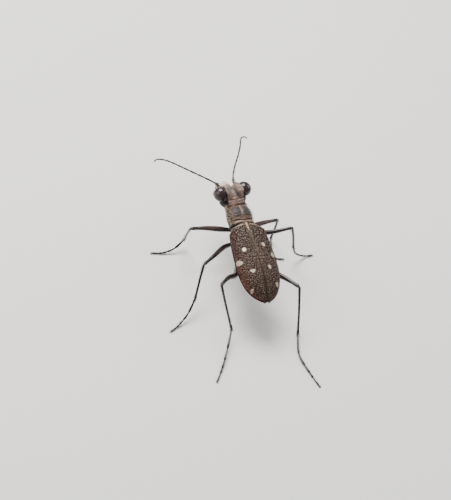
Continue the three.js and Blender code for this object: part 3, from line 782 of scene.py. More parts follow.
def wing_pattern(side_name, outer, v):
    """Relief and colours of a wing case: pits, granules, seam, rolled rim, shoulder dents and spots."""
    # Painted light in the colours: shade in the pits, on the rim and towards the front, and glints on the
    # granules and raised edges.
    steps = np.linalg.norm(np.diff(outer, axis=1), axis=2)
    across = np.concatenate([np.zeros((WING_ROWS, 1)), np.cumsum(steps, 1)], 1)
    width = across[:, -1:]
    along = v * WING_LENGTH + 0 * across
    from_margin = width - across
    to_apex = WING_LENGTH - along

    room = smooth_step(0.04, 0.14, across) * smooth_step(0.05, 0.18, from_margin)
    room = room * smooth_step(0.03, 0.15, along) * smooth_step(0.05, 0.3, to_apex)
    spot = spot_mask(side_name, along, across)
    fading = (1 - 0.4 * smooth_step(0.6, 1, v)) * room * (1 - 0.75 * spot)
    # Granules are raised, and the finish paints them lighter: a painted glint on each.
    glinting_granule = (1 - smooth_step(0.08, 0.36, dots(across, along, GRANULE_SPACING, 9))) * fading
    glinting_granule *= 0.72 + 0.28 * grain(outer, 0.22, 13)
    bead = 1 - smooth_step(0.08, 0.2, dots(across, along, BEAD_SPACING, 15))
    glinting_granule = np.maximum(glinting_granule, 0.75 * bead * smooth_step(0.4, 0.15, v) * fading)
    # Pits are sunk, and the finish paints them nearly black: painted shade in each.
    pit_shade = (1 - smooth_step(0.1, 0.45, dots(across, along, PIT_SPACING, 5))) * fading * (1 - glinting_granule)
    relief = GRANULE_HEIGHT * glinting_granule - PIT_DEPTH * pit_shade + 0.008 * grain(outer, 0.3, 11) * room
    relief += 0.022 * bump_at(across, 0.05, 0.04) - 0.014 * bump_at(across, 0.13, 0.05)
    relief += 0.03 * bump_at(from_margin, 0.03, 0.035) - 0.03 * bump_at(from_margin, 0.12, 0.05)
    relief += 0.06 * bump_at(along, 0.5, 0.35) * bump_at(across / width, 0.72, 0.12)
    relief -= 0.06 * bump_at(along, 0.6, 0.4) * bump_at(across / width, 0.42, 0.16)

    # Painted highlight along the raised base edge and the front of the seam bead.
    painted_ridge_highlight = bump_at(along, 0.05, 0.07) * smooth_step(0.15, 0.4, across)
    painted_ridge_highlight = np.maximum(painted_ridge_highlight, 0.35 * bump_at(across, 0.03, 0.05) * smooth_step(0.6, 0.25, v))
    # Painted shade on the rolled margin and round the apex; the seam is darkened towards the rear.
    rim = np.maximum(bump_at(from_margin, 0.04, 0.11), bump_at(to_apex, 0.0, 0.07))
    seam = 0.9 * bump_at(across, 0.0, 0.03) + 0.3 * bump_at(across, 0.12, 0.05)
    return relief, {
        "pit_shade": pit_shade,
        "glinting_granule": glinting_granule,
        "olive": bump_at(across, 0.1, 0.3) * (1 - 0.55 * v),
        # Painted shade, darker towards the front.
        "painted_front_shade": smooth_step(0.85, 0.1, v) + 0 * across,
        "flank": smooth_step(0.45, 0.95, across / width),
        "painted_ridge_highlight": painted_ridge_highlight,
        "spot": spot,
        "edge": rim + seam * smooth_step(0.5, 0.75, v),
    }


def wing_case(side_name):
    """A thin curved shell with a patterned outer face, a folded edge, a lining and a short spine."""
    side = SIDES[side_name]
    v = (1 - (1 - np.linspace(0, 1, WING_ROWS)) ** WING_ROW_BUNCHING)[:, None]
    outer = wing_section(v, np.linspace(0, 1, WING_COLUMNS)[None])
    relief, values = wing_pattern(side_name, outer, v)
    normals = unit(np.cross(np.gradient(outer, axis=0), np.gradient(outer, axis=1)))
    normals *= np.sign(normals[WING_ROWS // 2, WING_COLUMNS // 3, 2])
    outer = outer + normals * relief[..., None]
    fold = wing_section(v, np.ones((1, 1))) + np.array([-0.015, 0, -0.05])
    fold_in = wing_section(v, np.ones((1, 1)), WING_SKIN) + np.array([0, 0, -0.04])
    lining = wing_section(v, np.linspace(1, 0, WING_LINING_COLUMNS)[None], WING_SKIN)
    ring = np.concatenate([outer, fold, fold_in, lining], 1)
    ring[..., 0] *= side
    for name, value in values.items():
        # The fold and the lining take the whole edge layer, painted shade under the wing case, and the whole
        # flank layer.
        inside = np.full((WING_ROWS, ring.shape[1] - WING_COLUMNS), float(name in ("flank", "edge")))
        values[name] = np.concatenate([value, inside], 1)
    shape = Shape(ring, **values)
    tip = wing_section(np.array([0.995]), np.array([0.02]))[0] * np.array([side, 1, 1])
    steps = ((0.02, -0.25, 0.06), (0.02, -0.05, 0.0), (0.03, 0.12, -0.08))
    spine = [tip + (side * x, y, z) for x, y, z in steps]
    limb(shape, spine, profile((0, 0.05), (0.6, 0.04), (1, 0.01)), 12, 14, spot=0.8)
    return shape


def make_wing_cases():
    for side_name in SIDES:
        make_piece(f"wing_case_{side_name}", wing_case(side_name), "wing_case", TRUNK)


def make_scutellum():
    """The small triangle between the wing-case bases, with a painted golden highlight along its keel."""
    rows = np.linspace(0, 1, 34)[:, None]
    half = 0.36 * (1 - rows) ** 0.85 + 0.045
    angles = round_angles(44)
    wide = half * np.sign(np.cos(angles)) * np.abs(np.cos(angles)) ** 0.8
    flat = np.stack([wide, 0.8 * rows + 0 * wide, 0 * wide], -1)
    top = 0.2 + 0.03 * np.sin(math.pi * rows) + 0.05 * bump_at(wide, 0, 0.09) + 0.02 * grain(flat, 0.1, 4)
    tall = np.where(np.sin(angles) > 0, top, 0.25) * np.sin(angles)
    ring = np.stack([wide, 0.1 + 0.95 * rows + 0 * wide, -0.2 + tall], -1)
    painted_ridge_highlight = bump_at(wide, 0, 0.1) * (np.sin(angles) > 0)
    # Painted highlight along the keel, and painted shade beside it through the pit layer.
    shape = Shape(ring, painted_ridge_highlight=painted_ridge_highlight, olive=0.4 + 0 * wide, pit_shade=0.25 * (1 - painted_ridge_highlight))
    make_piece("scutellum", shape, "wing_case", TRUNK)


# ---- prothorax, head and mouth ----

HIPS = {"front": (0.6, -0.75, -2.2), "mid": (0.85, 0.6, -2.4), "hind": (0.95, 2.75, -2.45)}


def add_hip(shape, pair, side, steps, radius, **values):
    """The stout root of a leg, from two steps inside the body to the hip."""
    hip = mirrored(HIPS[pair], side)
    points = [*(hip + mirrored(step, side) for step in steps), hip]
    limb(shape, points, radius, 18, 24, (0, 1, 0), dome=0.12, **values)


FORE_BODY_MIDDLE = -0.95


def square_rings(y, level, wide, up, down, angle, squareness):
    """Rings between round and square: half widths, and reaches up and down from a level."""
    c, s = np.cos(angle), np.sin(angle)
    x = wide * np.sign(c) * np.abs(c) ** (2 / squareness)
    z = level + np.sign(s) * np.where(s > 0, up, down) * np.abs(s) ** (2 / squareness)
    return np.stack([x, y + 0 * x, z], -1)


def capsule_rings(front, rear, rings, sides, half_width, top, bottom, fullness, squareness):
    """Rings of the prothorax or the head, with the share of length and the angle of each point."""
    t = np.linspace(0, 1, rings)[:, None]
    angle = round_angles(sides)
    size = fullness(t)
    up, down = (top(t) - FORE_BODY_MIDDLE) * size, (FORE_BODY_MIDDLE - bottom(t)) * size
    wide = half_width(t) * size
    skin = square_rings(front + t * (rear - front), FORE_BODY_MIDDLE, wide, up, down, angle, squareness)
    return skin, t + 0 * angle, angle + 0 * t


def outward(rings):
    """Outward direction of each point of a ring skin."""
    around = np.roll(rings, -1, 1) - np.roll(rings, 1, 1)
    lengthwise = np.gradient(rings, axis=0)
    normals = unit(np.cross(lengthwise, around))
    middle = rings.mean(1, keepdims=True)
    return normals * np.sign(((rings - middle) * normals).sum(2, keepdims=True).mean())


def edge_fall(share, least):
    """A curve that draws both ends of a skin in to the least of its size, as a dome would."""

    def fullness(t):
        edge = np.minimum(np.minimum(t, 1 - t) / share, 1)
        return least + (1 - least) * np.sqrt(1 - (1 - edge) ** 2)

    return fullness


PROTHORAX_FRONT = -2.42
PROTHORAX_REAR = -0.04
prothorax_half_width = profile(
    (0, 0.86), (0.06, 0.95), (0.2, 0.97), (0.45, 1.08), (0.68, 1.07), (0.84, 1.0), (0.93, 1.08), (1, 1.04)
)
prothorax_top = profile(
    (0, -0.36), (0.06, -0.25), (0.16, -0.3), (0.5, -0.1), (0.83, -0.27), (0.92, -0.19), (1, -0.26)
)
prothorax_bottom = profile((0, -1.55), (0.5, -1.85), (1, -1.75))


def make_prothorax():
    """A coppery barrel with two slate lobes between its front and rear grooves."""
    curves = prothorax_half_width, prothorax_top, prothorax_bottom, edge_fall(0.05, 0.82)
    rings, t, angle = capsule_rings(PROTHORAX_FRONT, PROTHORAX_REAR, 150, 176, *curves, 2.7)
    x = rings[..., 0]
    above = smooth_step(-0.05, 0.35, np.sin(angle))
    front_groove = bump_at(t + 0.03 * np.cos(3 * angle), 0.17, 0.022)
    rear_groove = bump_at(t - 0.05 * bump_at(x, 0, 0.35), 0.82, 0.025)
    sulci = front_groove + rear_groove
    midline = bump_at(x, 0, 0.03) * smooth_step(0.14, 0.22, t) * smooth_step(0.25, 0.6, 1 - t)
    lobe = bump_at(np.abs(x), 0.44, 0.42) * smooth_step(0.22, 0.36, t) * smooth_step(0.24, 0.36, 1 - t)
    wrinkle = grain(rings * np.array([0.3, 1.0, 0.5]), 0.045, 21)
    side_seam = bump_at(np.sin(angle), -0.15, 0.05)
    relief = -0.085 * sulci * (0.3 + 0.7 * above) - 0.06 * midline * above + 0.07 * lobe * above
    relief += 0.016 * wrinkle + 0.014 * grain(rings, 0.16, 23) - 0.04 * side_seam
    rings = rings + outward(rings) * relief[..., None]
    collars = 0.25 * smooth_step(0.12, 0.08, t) + smooth_step(0.86, 0.9, t)
    flecks = 0.5 + 0.5 * grain(rings, 0.12, 27)
    freckles = 0.5 * smooth_step(0.0, 0.6, grain(rings, 0.14, 29)) * smooth_step(0.3, 0.14, t)
    slate = smooth_step(0.35, 0.75, lobe + 0.25 * (flecks - 0.5))
    shape = Shape(
        rings,
        lobe=slate * above,
        groove=(1.2 * sulci + freckles) * above,
        pale=0.6 * (midline + collars * flecks) * above,
        edge=0.95 * smooth_step(0.72, 0.35, np.sin(angle)),
    )
    for side in SIDES.values():
        steps = (-0.22, -0.15, 0.75), (-0.1, -0.05, 0.2)
        add_hip(shape, "front", side, steps, profile((0, 0.42), (0.5, 0.36), (1, 0.2)), edge=0.85)
    make_piece("prothorax", shape, "collar", TRUNK)
    coat = Coat(61)
    beside = bump_at(np.sin(angle), 0.2, 0.3) * smooth_step(0.02, 0.1, t) * smooth_step(0.03, 0.1, 1 - t)
    for side in SIDES.values():
        chance = beside * (np.cos(angle) * side > 0)
        coat.over_skin(rings, chance, 72, (0.4, (side * 0.5, -0.3, 0.1)), 0.24, (0.25 - 0.25 * side, 0.45))
    make_coat("prothorax_hair", coat, GOLDEN_HAIR, TRUNK, thickness=0.06, bend=0.25, spread=0.3)


EYES = {"centre": (1.09, -3.4, -0.2), "radii": (0.66, 0.67, 0.63)}
FEELER_ROOT = (0.68, -4.36, -0.62)
HEAD_FRONT = -4.42
HEAD_REAR = -2.1
head_half_width = profile(
    (0, 0.54), (0.08, 0.64), (0.2, 0.74), (0.34, 0.82), (0.5, 0.86), (0.64, 0.84), (0.76, 0.8), (0.87, 0.8),
    (1, 0.78),
)
head_top = profile(
    (0, -0.86), (0.08, -0.6), (0.16, -0.38), (0.3, -0.18), (0.45, -0.08), (0.62, -0.12), (0.75, -0.22),
    (1, -0.34),
)
head_bottom = profile((0, -1.75), (0.3, -1.95), (0.7, -1.9), (1, -1.55))


def eye_gap(points):
    """How far points lie outside the nearer eye, in shares of its size."""
    beside = np.concatenate([np.abs(points[..., :1]), points[..., 1:]], -1)
    return np.linalg.norm((beside - np.array(EYES["centre"])) / np.array(EYES["radii"]), axis=-1) - 1


BROWS = {"centre": (0.76, -3.42, -0.2), "radii": (0.38, 0.75, 0.57)}
BROW_BLEND = 0.07
SADDLE_CLIMB = 0.48
BROW_LEAN = 0.22
CREASE_SLANT = 0.18
CREASE_SPACING = 0.075


def crown_height(x, y, t):
    """Height of the crown, a saddle that climbs on each side to meet the brow over the eye."""
    centre, radii = BROWS["centre"], BROWS["radii"]
    beside = np.where(x > 0, x - BROW_LEAN, -x + BROW_LEAN)
    away = ((beside - centre[0]) / radii[0]) ** 2 + ((y - centre[1]) / radii[1]) ** 2
    brow = np.where(away < 1, centre[2] + radii[2] * np.sqrt(np.maximum(1 - away, 0)), -0.9)
    climb = smooth_step(0.1, 0.8, np.abs(x)) * smooth_step(-4.25, -3.75, y) * smooth_step(-2.5, -3.0, y)
    saddle = head_top(t) + SADDLE_CLIMB * climb
    return BROW_BLEND * np.logaddexp(brow / BROW_BLEND, saddle / BROW_BLEND)


def creases(x, y):
    """Fine creases beside the eyes, a little aslant."""
    return np.sin(2 * math.pi * (np.abs(x) - CREASE_SLANT * y) / CREASE_SPACING)


def add_brow(shape, side):
    """The brow that roofs the inner part of an eye, with fine creases along it."""
    polar = polar_angles(70)
    around = round_angles(90)
    centre, radii = BROWS["centre"], BROWS["radii"]
    y = centre[1] - radii[1] * np.cos(polar) + 0 * around
    x = BROW_LEAN + side * (centre[0] + radii[0] * np.sin(polar) * np.cos(around))
    z = centre[2] + radii[2] * np.sin(polar) * np.sin(around)
    rings = np.stack([x, y, z], -1)
    relief = 0.008 * creases(x, y) + 0.010 * grain(rings, 0.05, 37) + 0.012 * grain(rings, 0.2, 33) - 0.012
    rings = rings + outward(rings) * relief[..., None]
    # Painted shade in the crease where the brow meets the eye.
    rim = smooth_step(0.10, 0.03, eye_gap(rings))
    flecks = 0.5 + 0.5 * grain(rings, 0.17, 35)
    pale = 0.3 * flecks * smooth_step(0.2, 0.8, np.sin(around))
    shape.add_rings(rings, edge=rim, pale=pale * (1 - rim))


def make_head():
    """A broad head whose crown rises on each side into a brow over the eye."""
    curves = head_half_width, head_top, head_bottom, edge_fall(0.05, 0.72)
    rings, t, angle = capsule_rings(HEAD_FRONT, HEAD_REAR, 170, 200, *curves, 3.0)
    x, y = rings[..., 0], rings[..., 1]
    beside = np.abs(x)
    above = smooth_step(0.0, 0.4, np.sin(angle))
    rise = np.maximum(crown_height(x, y, t) - rings[..., 2], 0)
    crest = bump_at(t, 0.14, 0.035)
    hollow = bump_at(beside, 0.3, 0.17) * bump_at(t, 0.27, 0.09)
    crown_dip = bump_at(x, 0, 0.3) * bump_at(y, -3.4, 0.45)
    striae = creases(x, y) * bump_at(beside, 0.7, 0.3) * bump_at(y, -3.5, 0.6)
    wrinkle = grain(rings * np.array([0.5, 1.0, 0.5]), 0.08, 31)
    neck_groove = bump_at(t, 0.8, 0.02)
    lift = rise - 0.02 * crown_dip + 0.05 * crest - 0.06 * hollow
    rings = rings + np.array([0, 0, 1.0]) * (lift * above)[..., None]
    relief = 0.012 * striae * above + 0.018 * wrinkle + 0.016 * grain(rings, 0.2, 33) - 0.03 * neck_groove
    rings = rings + outward(rings) * relief[..., None]
    flecks = 0.5 + 0.5 * grain(rings, 0.17, 35)
    neck = smooth_step(0.8, 0.85, t)
    freckles = 0.45 * smooth_step(0.1, 0.7, grain(rings, 0.15, 41))
    patch = bump_at(x + 0.1 + 0.3 * (y + 3.35), 0, 0.2)
    patch = patch * smooth_step(-4.2, -3.95, y) * smooth_step(-2.6, -3.0, y)
    # Painted shade in the crease where the head meets each eye.
    painted_shelf_shade = smooth_step(0.1, 0.02, eye_gap(rings)) * above
    shape = Shape(
        rings,
        lobe=1.1 * patch * (0.55 + 0.45 * flecks) * above,
        groove=(0.6 * neck_groove + 0.7 * neck + freckles + 0.4 * hollow * (1 - patch)) * above,
        pale=(1 - neck) * (0.35 * crest + 0.25 * smooth_step(0.3, 0.7, beside) * flecks) * above,
        # Painted shade: the lower sides are painted nearly black, as if in shadow.
        edge=smooth_step(0.52, 0.3, np.sin(angle)) + 0.6 * painted_shelf_shade,
    )
    clypeus = [(0, -4.2, -1.0), (0, -4.45, -1.03), (0, -4.7, -1.06)]
    limb(shape, clypeus, profile((0, 0.5), (0.6, 0.47), (1, 0.4)), 16, 40, height=0.5, dome=0.1, pale=0.25)
    for side in SIDES.values():
        add_brow(shape, side)
        root = mirrored(FEELER_ROOT, side)
        inward = root + mirrored((-0.12, 0.34, -0.1), side)
        limb(shape, [inward, root], profile((0, 0.2), (0.8, 0.17), (1, 0.13)), 10, 24, dome=0.15, edge=0.5)
        jaw_root = [mirrored((0.42, -4.1, -1.5), side), mirrored((0.56, -4.5, -1.58), side)]
        limb(shape, jaw_root, 0.3, 10, 24, dome=0.15, edge=0.9)
        # The cheek behind each eye is painted black, as shade.
        egg(shape, mirrored((0.78, -3.05, -0.86), side), (0.46, 0.58, 0.52), 30, 40, edge=1.0)
    throat = [(0, -3.7, -1.85), (0, -4.15, -2.2), (0, -4.45, -2.38)]
    limb(shape, throat, profile((0, 0.5), (0.6, 0.46), (1, 0.3)), 16, 36, height=0.42, dome=0.1, edge=1.0)
    make_piece("head", shape, "face", HEAD)


def make_eyes():
    for side_name, side in SIDES.items():
        shape = Shape()
        egg(shape, mirrored(EYES["centre"], side), EYES["radii"], 64, 80)
        make_piece(f"eye_{side_name}", shape, "eye", HEAD)


LIP_ROOT = -4.6
LIP_FRONT = -5.03
LIP_HALF_WIDTH = 0.47


def make_lip():
    """The pale upper lip, toothed in the middle of its front edge."""
    columns = np.linspace(-1, 1, 61)
    front = LIP_FRONT + 0.13 * np.abs(columns) ** 3 - 0.07 * bump_at(columns, 0, 0.1)
    front -= 0.035 * (bump_at(np.abs(columns), 0.3, 0.09) + bump_at(np.abs(columns), 0.62, 0.1))
    shares = np.linspace(0, 1, 28)
    x = LIP_HALF_WIDTH * columns[:, None] * (1 - 0.1 * shares)
    y = LIP_ROOT + shares * (front[:, None] - LIP_ROOT)
    crown = -0.88 - 0.1 * columns[:, None] ** 2 - 0.12 * shares**2
    upper = np.stack([x, y, crown], -1)
    lower = np.stack([x, y, crown - 0.12 * (1 - 0.7 * shares**4)], -1)[:, ::-1]
    rings = np.concatenate([upper, lower], 1)
    edge = smooth_step(0.9, 1.0, shares)
    shape = Shape(rings, edge=np.concatenate([edge, edge[::-1]]))
    make_piece("labrum", shape, "lip", HEAD)


MANDIBLE_LINE = (
    (0.42, -4.4, -1.6),
    (0.48, -4.66, -1.62),
    (0.53, -4.95, -1.6),
    (0.44, -5.22, -1.52),
    (0.18, -5.4, -1.42),
)
MANDIBLE_TEETH = ((0.5, 0.15), (0.62, 0.13), (0.74, 0.11))


def make_mandibles():
    """Sickle jaws with three teeth on the inner edge and a pale root."""
    for side_name, side in SIDES.items():
        path = Path([mirrored(place, side) for place in MANDIBLE_LINE])
        shape = Shape()
        shares = np.linspace(0, 1, 40)
        radii = profile((0, 0.24), (0.35, 0.22), (0.65, 0.13), (1, 0.02))(shares)
        on_top = smooth_step(0.2, 0.9, np.sin(round_angles(28)))
        pale = 0.3 * bump_at(shares, 0.3, 0.14)[:, None] * on_top
        shape.add_rings(sweep(path, shares, rounded_ends(shares, radii, 0.05), 28, height=0.62), pale=pale)
        for share, size in MANDIBLE_TEETH:
            root = Vector(path.at(share))
            tip = root + mirrored((-1.5 * size, 0.55 * size, 0), side)
            radius = profile((0, 0.085), (0.6, 0.05), (1, 0.012))
            limb(shape, [root, root.lerp(tip, 0.5), tip], radius, 8, 14, height=0.7)
        make_piece(f"mandible_{side_name}", shape, "jaw", HEAD)


def beads(path, joints, sides):
    """Rings of a jointed limb. Each joint has its share of the length, and its root's and end's radii."""
    total = sum(joint[0] for joint in joints)
    stations = [(0.0, 0.4 * joints[0][1])]
    start = 0.0
    for share, root, end in joints:
        stretch = share / total
        middle = root + 0.4 * (end - root)
        swell = (0.04, 0.8 * root), (0.12, root), (0.4, middle), (0.7, end), (0.93, end), (0.985, 0.72 * end)
        stations += [(start + part * stretch, radius) for part, radius in swell]
        start += stretch
        stations.append((start, 0.5 * end))
    shares, radii = np.array(stations).T
    shares = np.clip(shares, 0, 1)
    return sweep(path, shares, radii, sides), shares


def make_palps():
    """Jointed palps under the jaws, two on each side."""
    shape = Shape()
    outer = [(0.25, -4.15, -2.2), (0.62, -4.5, -2.34), (0.72, -4.95, -2.36), (0.5, -5.3, -2.4)]
    inner = [(0.12, -4.3, -2.36), (0.3, -4.6, -2.46), (0.36, -4.92, -2.48), (0.2, -5.16, -2.5)]
    for side in SIDES.values():
        for points, joints in (
            (outer, [(0.2, 0.06, 0.07), (0.35, 0.06, 0.08), (0.2, 0.055, 0.075), (0.3, 0.06, 0.05)]),
            (inner, [(0.25, 0.055, 0.06), (0.45, 0.06, 0.085), (0.3, 0.05, 0.065)]),
        ):
            rings, shares = beads(Path([mirrored(place, side) for place in points]), joints, 18)
            shape.add_rings(rings, pale=0.9 * smooth_step(0.75, 0.6, shares)[:, None])
    make_piece("palps", shape, "jaw", HEAD)


# ---- feelers ----

FEELER_LENGTH = 6.5
FEELER_STEPS = 33
FEELER_POSE = {
    "left": {"swing": (30, 55, 58, 58, 82, 145), "rise": (20, 12, 8, 6, 2, -8)},
    "right": {"swing": (-5, 16, 30, 26, 36, 165), "rise": (12, 4, 1, 0, 0, -6)},
}
FEELER_STOPS = (0, 0.1, 0.4, 0.7, 0.89, 1)
FEELER_JOINTS = [
    (0.56, 0.1, 0.135), (0.16, 0.08, 0.095), (0.9, 0.066, 0.086), (0.66, 0.066, 0.083),
    (0.72, 0.065, 0.082), (0.62, 0.065, 0.08), (0.6, 0.065, 0.079), (0.58, 0.064, 0.077),
    (0.56, 0.063, 0.075), (0.54, 0.062, 0.073), (0.6, 0.06, 0.055),
]


def direction(swing, rise, side):
    """Heading by its swing out from straight ahead and its rise over level, in degrees."""
    turn, lift = math.radians(swing), math.radians(rise)
    level = math.cos(lift)
    return Vector((side * math.sin(turn) * level, -math.cos(turn) * level, math.sin(lift)))


def feeler_path(side_name):
    side = SIDES[side_name]
    pose = FEELER_POSE[side_name]
    swing, rise = (profile(*zip(FEELER_STOPS, pose[name])) for name in ("swing", "rise"))
    points = [HEAD @ mirrored(FEELER_ROOT, side)]
    for i in range(FEELER_STEPS):
        t = (i + 0.5) / FEELER_STEPS
        ahead = direction(float(swing(t)), float(rise(t)), side)
        points.append(points[-1] + ahead * FEELER_LENGTH / FEELER_STEPS)
    return Path(points, 4)


def make_feelers():
    for side_name in SIDES:
        rings, shares = beads(feeler_path(side_name), FEELER_JOINTS, 20)
        shares = shares[:, None]
        pale = 0.5 * bump_at(shares, 0.03, 0.03)
        shape = Shape(rings, downy=smooth_step(0.36, 0.42, shares), pale=pale)
        make_piece(f"antenna_{side_name}", shape, "feeler")


# ---- legs ----

SEGMENTS = {
    "front": {"femur": 3.65, "tibia": 3.15, "tarsus": 3.1},
    "mid": {"femur": 3.89, "tibia": 3.03, "tarsus": 3.75},
    "hind": {"femur": 4.7, "tibia": 4.4, "tarsus": 5.3},
}
POSE = {
    "front_left": {"femur": (85, 4), "tibia": (-18, -65), "tarsus": (118, 98, 83)},
    "front_right": {"femur": (77, -2), "tibia": (30, -77), "tarsus": (195, 175, 106)},
    "mid_left": {"femur": (123.5, 3), "tibia": (154.5, -43.9), "tarsus": (140, 128, 122)},
    "mid_right": {"femur": (94.4, 28.1), "tibia": (82.9, -72.1), "tarsus": (63, 78, 82)},
    "hind_left": {"femur": (139, 21), "tibia": (-148, -59), "tarsus": (154, 151, 147)},
    "hind_right": {"femur": (151, 15), "tibia": (177, -60), "tarsus": (194, 170, 166)},
}
TARSUS_SHARES = (0.37, 0.35, 0.28)
TARSUS_DROPS = (0.58, 0.93, 1)
SOLE_HEIGHT = 0.2
FOOT_RADIUS = 0.085
TARSUS_JOINTS = [
    (0.36, 0.08, 0.105), (0.22, 0.078, 0.102), (0.15, 0.076, 0.1), (0.1, 0.075, 0.096), (0.17, 0.062, 0.08),
]
CLAW_REACH = 0.3
CLAW_LENGTH = 0.28
CLAW_TIP_HEIGHT = 0.03
CLAW_SPLAY = 24
# How much longer some feet are than the pose makes them, in millimetres.
FOOT_STRETCH = {"front_left": 0.34, "hind_left": 0.14, "hind_right": 0.34}


def leg_joints(pair, side_name):
    """Joints of one leg, from the hip to the root of the claws."""
    name = f"{pair}_{side_name}"
    side = SIDES[side_name]
    pose = POSE[name]
    lengths = SEGMENTS[pair]
    hip = TRUNK @ mirrored(HIPS[pair], side)
    knee = hip + direction(*pose["femur"], side) * lengths["femur"]
    ankle = knee + direction(*pose["tibia"], side) * lengths["tibia"]
    toes = []
    last = ankle
    for swing, share, drop in zip(pose["tarsus"], TARSUS_SHARES, TARSUS_DROPS):
        height = SOLE_HEIGHT + (ankle.z - SOLE_HEIGHT) * (1 - drop)
        stretch = lengths["tarsus"] * share
        level = math.sqrt(stretch**2 - (last.z - height) ** 2)
        last = last + direction(swing, 0, side) * level
        last.z = height
        toes.append(last.copy())
    for toe, drop in zip(toes, TARSUS_DROPS):
        toe.z -= (SOLE_HEIGHT - FOOT_RADIUS) * drop
    foot_swing = pose["tarsus"][-1]
    toes[-1] -= direction(foot_swing, 0, side) * (CLAW_REACH - FOOT_STRETCH.get(name, 0.0))
    joints = {"hip": hip, "knee": knee, "ankle": ankle, "toes": toes}
    return {"name": name, "side": side, "foot_swing": foot_swing, **joints}


FEMUR_RADII = {
    "front": ((0, 0.15), (0.08, 0.19), (0.3, 0.235), (0.55, 0.21), (0.85, 0.15), (0.95, 0.155), (1, 0.13)),
    "mid": ((0, 0.15), (0.08, 0.19), (0.3, 0.225), (0.6, 0.195), (0.88, 0.145), (0.95, 0.155), (1, 0.13)),
    "hind": ((0, 0.16), (0.07, 0.2), (0.28, 0.25), (0.6, 0.215), (0.88, 0.155), (0.96, 0.165), (1, 0.13)),
}
FEMUR_RADIUS = {pair: profile(*stations) for pair, stations in FEMUR_RADII.items()}
TIBIA_RADIUS = profile((0, 0.1), (0.05, 0.12), (0.3, 0.108), (0.85, 0.105), (0.97, 0.13), (1, 0.11))

# How far a thigh bows forward (or, below nought, back) soon after the hip, in millimetres.
FEMUR_BOWS = {"mid_left": 0.2, "mid_right": 0.45, "hind_left": -0.6, "hind_right": -0.25}


def femur_path(leg):
    """A thigh, bowed a little upwards, and forward or back where it leaves the hip."""
    hip, knee = leg["hip"], leg["knee"]
    forward = Vector((0, -FEMUR_BOWS.get(leg["name"], 0.0), 0))
    near = hip.lerp(knee, 0.25) + forward + Vector((0, 0, 0.06))
    far = hip.lerp(knee, 0.62) + forward * 0.3 + Vector((0, 0, 0.12))
    return Path([hip, near, far, knee])


def tibia_path(leg):
    """A shin, bowed a little away from the hip."""
    knee, ankle = leg["knee"], leg["ankle"]
    bow = (knee - leg["hip"]).normalized() * 0.05
    return Path([knee.lerp(ankle, -0.02), knee.lerp(ankle, 0.4) + bow, ankle])


def make_femur(name, pair, leg):
    """A thigh with a painted highlight along its top, paler at the knee, with its root in the hip."""
    shape = Shape()
    shares = np.linspace(0, 1, 64)
    angles = round_angles(28)
    radii = rounded_ends(shares, FEMUR_RADIUS[pair](shares), 0.03)
    # Painted highlight along the top of the thigh, strongest on the front legs.
    top_highlight_strength = 0.8 if pair == "front" else 0.25
    knee_tip = 0.7 * bump_at(shares, 0.995, 0.025)[:, None]
    painted_top_highlight = top_highlight_strength * bump_at(shares, 0.5, 0.33)[:, None] * smooth_step(-0.2, 0.7, np.sin(angles))
    shape.add_rings(sweep(femur_path(leg), shares, radii, 28, height=1.08), pale=knee_tip + painted_top_highlight)
    hip, knee = leg["hip"], leg["knee"]
    root = [hip - (knee - hip).normalized() * 0.22, hip, hip.lerp(knee, 0.07)]
    limb(shape, root, profile((0, 0.16), (0.5, 0.2), (1, 0.14)), 14, 24, dome=0.2)
    make_piece(name, shape, "leg")


def make_tibia(name, leg):
    """A shin that widens to its two end spurs."""
    shape = Shape()
    shares = np.linspace(0, 1, 64)
    radii = rounded_ends(shares, TIBIA_RADIUS(shares), 0.02)
    pale = 0.65 * bump_at(shares, 0.0, 0.03)[:, None]
    shape.add_rings(sweep(tibia_path(leg), shares, radii, 20), pale=pale)
    ankle = leg["ankle"]
    shin = (ankle - leg["knee"]).normalized()
    foot = (leg["toes"][0] - ankle).normalized()
    aside = shin.cross(foot).normalized()
    for way in (1, -1):
        root = ankle - shin * 0.08 + aside * way * 0.05
        tip = ankle + shin * 0.12 + foot * 0.16 + aside * way * 0.2
        tip.z = max(tip.z, 0.05)
        limb(shape, [root, root.lerp(tip, 0.5), tip], profile((0, 0.038), (0.6, 0.028), (1, 0.006)), 10, 12)
    make_piece(name, shape, "leg")


def make_tarsus(name, leg):
    """Five joints, each widest at its end."""
    shape = Shape()
    rings, shares = beads(Path([leg["ankle"], *leg["toes"]]), TARSUS_JOINTS, 20)
    shape.add_rings(rings, pale=0.2 * smooth_step(0.6, 0.95, shares)[:, None])
    make_piece(name, shape, "leg")


def make_claws(name, leg):
    """Two slim hooked claws."""
    shape = Shape()
    end = leg["toes"][-1]
    for way in (-1, 1):
        spread = direction(leg["foot_swing"] + way * CLAW_SPLAY, 0, leg["side"])
        ahead = direction(leg["foot_swing"] + way * CLAW_SPLAY / 2, 0, leg["side"])
        tip = end + ahead * CLAW_LENGTH
        tip.z = CLAW_TIP_HEIGHT
        points = [end - spread * 0.04, end + spread * 0.14 + Vector((0, 0, 0.02)), tip]
        limb(shape, points, profile((0, 0.045), (0.6, 0.036), (1, 0.006)), 12, 12)
    make_piece(name, shape, "leg", replaced=())


